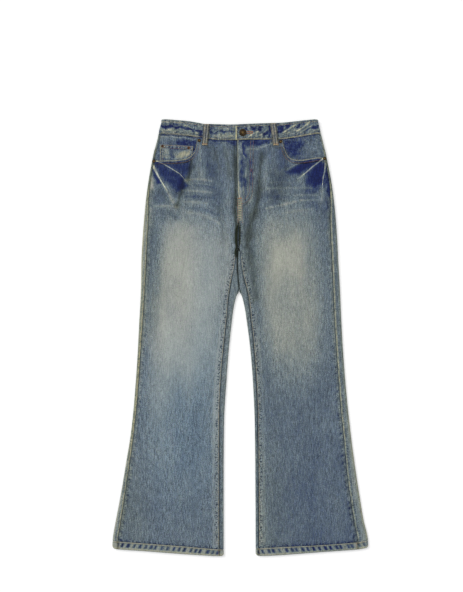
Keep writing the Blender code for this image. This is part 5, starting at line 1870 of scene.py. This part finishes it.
def turned_piece(name, x, down, low, radius, height, steps, materials, core, shank=0.0):
    """A round metal piece: a disc whose upper face is inset and lifted, step by step."""
    let_go()
    place = to_metres(np.array([x, down, low + height / 2]))
    bpy.ops.mesh.primitive_cylinder_add(vertices=48, radius=radius * MM, depth=height * MM, location=place)
    obj = bpy.context.active_object
    obj.name = obj.data.name = name + "_metal"
    select_flat(obj, 1)
    for inwards, lift in steps:
        bpy.ops.mesh.inset(thickness=inwards * MM)
        bpy.ops.transform.translate(value=(0, 0, lift * MM))
    if shank:
        bpy.ops.object.mode_set(mode="OBJECT")
        select_flat(obj, -1)
        bpy.ops.mesh.inset(thickness=(radius - 2.3) * MM)
        bpy.ops.mesh.extrude_region_move(TRANSFORM_OT_translate={"value": (0, 0, -shank * MM)})
    bpy.ops.object.mode_set(mode="OBJECT")
    bpy.ops.object.transform_apply(location=True, rotation=True, scale=True)
    soften = obj.modifiers.new("soft edges", "BEVEL")
    soften.width = 0.14 * MM
    soften.segments = 2
    soften.limit_method = "ANGLE"
    soften.angle_limit = math.radians(28)
    bpy.ops.object.modifier_apply(modifier=soften.name)
    bpy.ops.object.shade_smooth_by_angle(angle=math.radians(40))
    for material in materials:
        obj.data.materials.append(material)
    for face in obj.data.polygons:
        away = math.hypot(face.center.x - place[0], face.center.y - place[1]) / MM
        face.material_index = 1 if away < core and face.normal.z > 0.3 else 0
    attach(obj, "root")
    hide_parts(name)


def metal_pieces():
    brass, copper = (dark_brass, rubbed_brass), (antique_copper, antique_copper)
    shank = BAND + 2 * SEAM_GAP
    turned_piece("button", BUTTON_X, BUTTON_DOWN, BAND_Z + SEAM_GAP + shank, 8.5, 1.3,
                 ((0.5, 0.7), (0.8, 0.5), (1.1, 0.0), (0.4, -0.5), (0.9, 0.0), (0.5, 0.35), (1.6, 0.15)),
                 brass, 3.2, shank)
    top = float(top_z(60.0))
    for name, x, down in (("right_inner", -96.7, 50.4), ("right_outer", -203.2, 99.0),
                          ("left_inner", 94.6, 52.8), ("left_outer", 197.6, 92.6)):
        turned_piece("rivet_pocket_" + name, x, down, top + SEAM_GAP, 4.0, 0.4,
                     ((0.4, 0.45), (0.9, 0.15), (0.5, -0.3), (0.7, 0.0), (0.3, 0.4)), brass, 1.6)
    coin_top = float(facing_z(65.0)) + SEAM_GAP + FACING
    for name, x, down in (("outer", -183.4, 63.4), ("inner", -121.8, 67.4)):
        turned_piece("rivet_coin_" + name, x, down, coin_top + SEAM_GAP, 3.2, 0.4,
                     ((0.35, 0.4), (0.7, 0.15), (0.4, -0.25), (0.5, 0.0), (0.25, 0.3)), copper, 1.2)


# ---- the studio


def studio():
    scene = bpy.context.scene
    let_go()
    bpy.ops.mesh.primitive_plane_add(size=40.0, location=(0, 0, -0.0004))
    floor = bpy.context.active_object
    floor.name = "pale_floor"
    finish = dict(Base_Color=(0.8, 0.8, 0.8, 1), Roughness=1.0, Specular_IOR_Level=0.0,
                  Emission_Color=(1, 1, 1, 1), Emission_Strength=0.3)
    floor.data.materials.append(new_material("pale floor", **finish)[0])

    world = bpy.data.worlds.new("studio")
    world.use_nodes = True
    backdrop = world.node_tree.nodes["Background"]
    backdrop.inputs["Color"].default_value = (1, 1, 1, 1)
    backdrop.inputs["Strength"].default_value = 0.48
    scene.world = world
    for name, place, strength, width in (("window", (-1.3, 1.1, 1.25), 2.1, 42),
                                         ("fill", (1.2, -0.8, 2.0), 0.35, 70)):
        light = bpy.data.lights.new(name, "SUN")
        light.energy = strength
        light.angle = math.radians(width)
        lamp = bpy.data.objects.new(name, light)
        lamp.location = place
        lamp.rotation_euler = Vector(place).to_track_quat("Z", "Y").to_euler()
        scene.collection.objects.link(lamp)

    lens = bpy.data.cameras.new("camera")
    lens.sensor_width = 36.0
    lens.lens = 67.3
    camera = bpy.data.objects.new("camera", lens)
    camera.location = (-0.0208, 0.098, 2.605)
    scene.collection.objects.link(camera)
    scene.camera = camera
    scene.view_settings.view_transform = "Standard"


studio()
for side in SIDES:
    front_piece(side)
    back_piece(side)
    yoke_piece(side)
    back_pocket(side)
    facing_piece(side)
    hem_ring(side)
coin_pocket()
waistband()
for loop in LOOPS:
    belt_loop(*loop)
fly_zip()
sew_front()
sew_back()
metal_pieces()
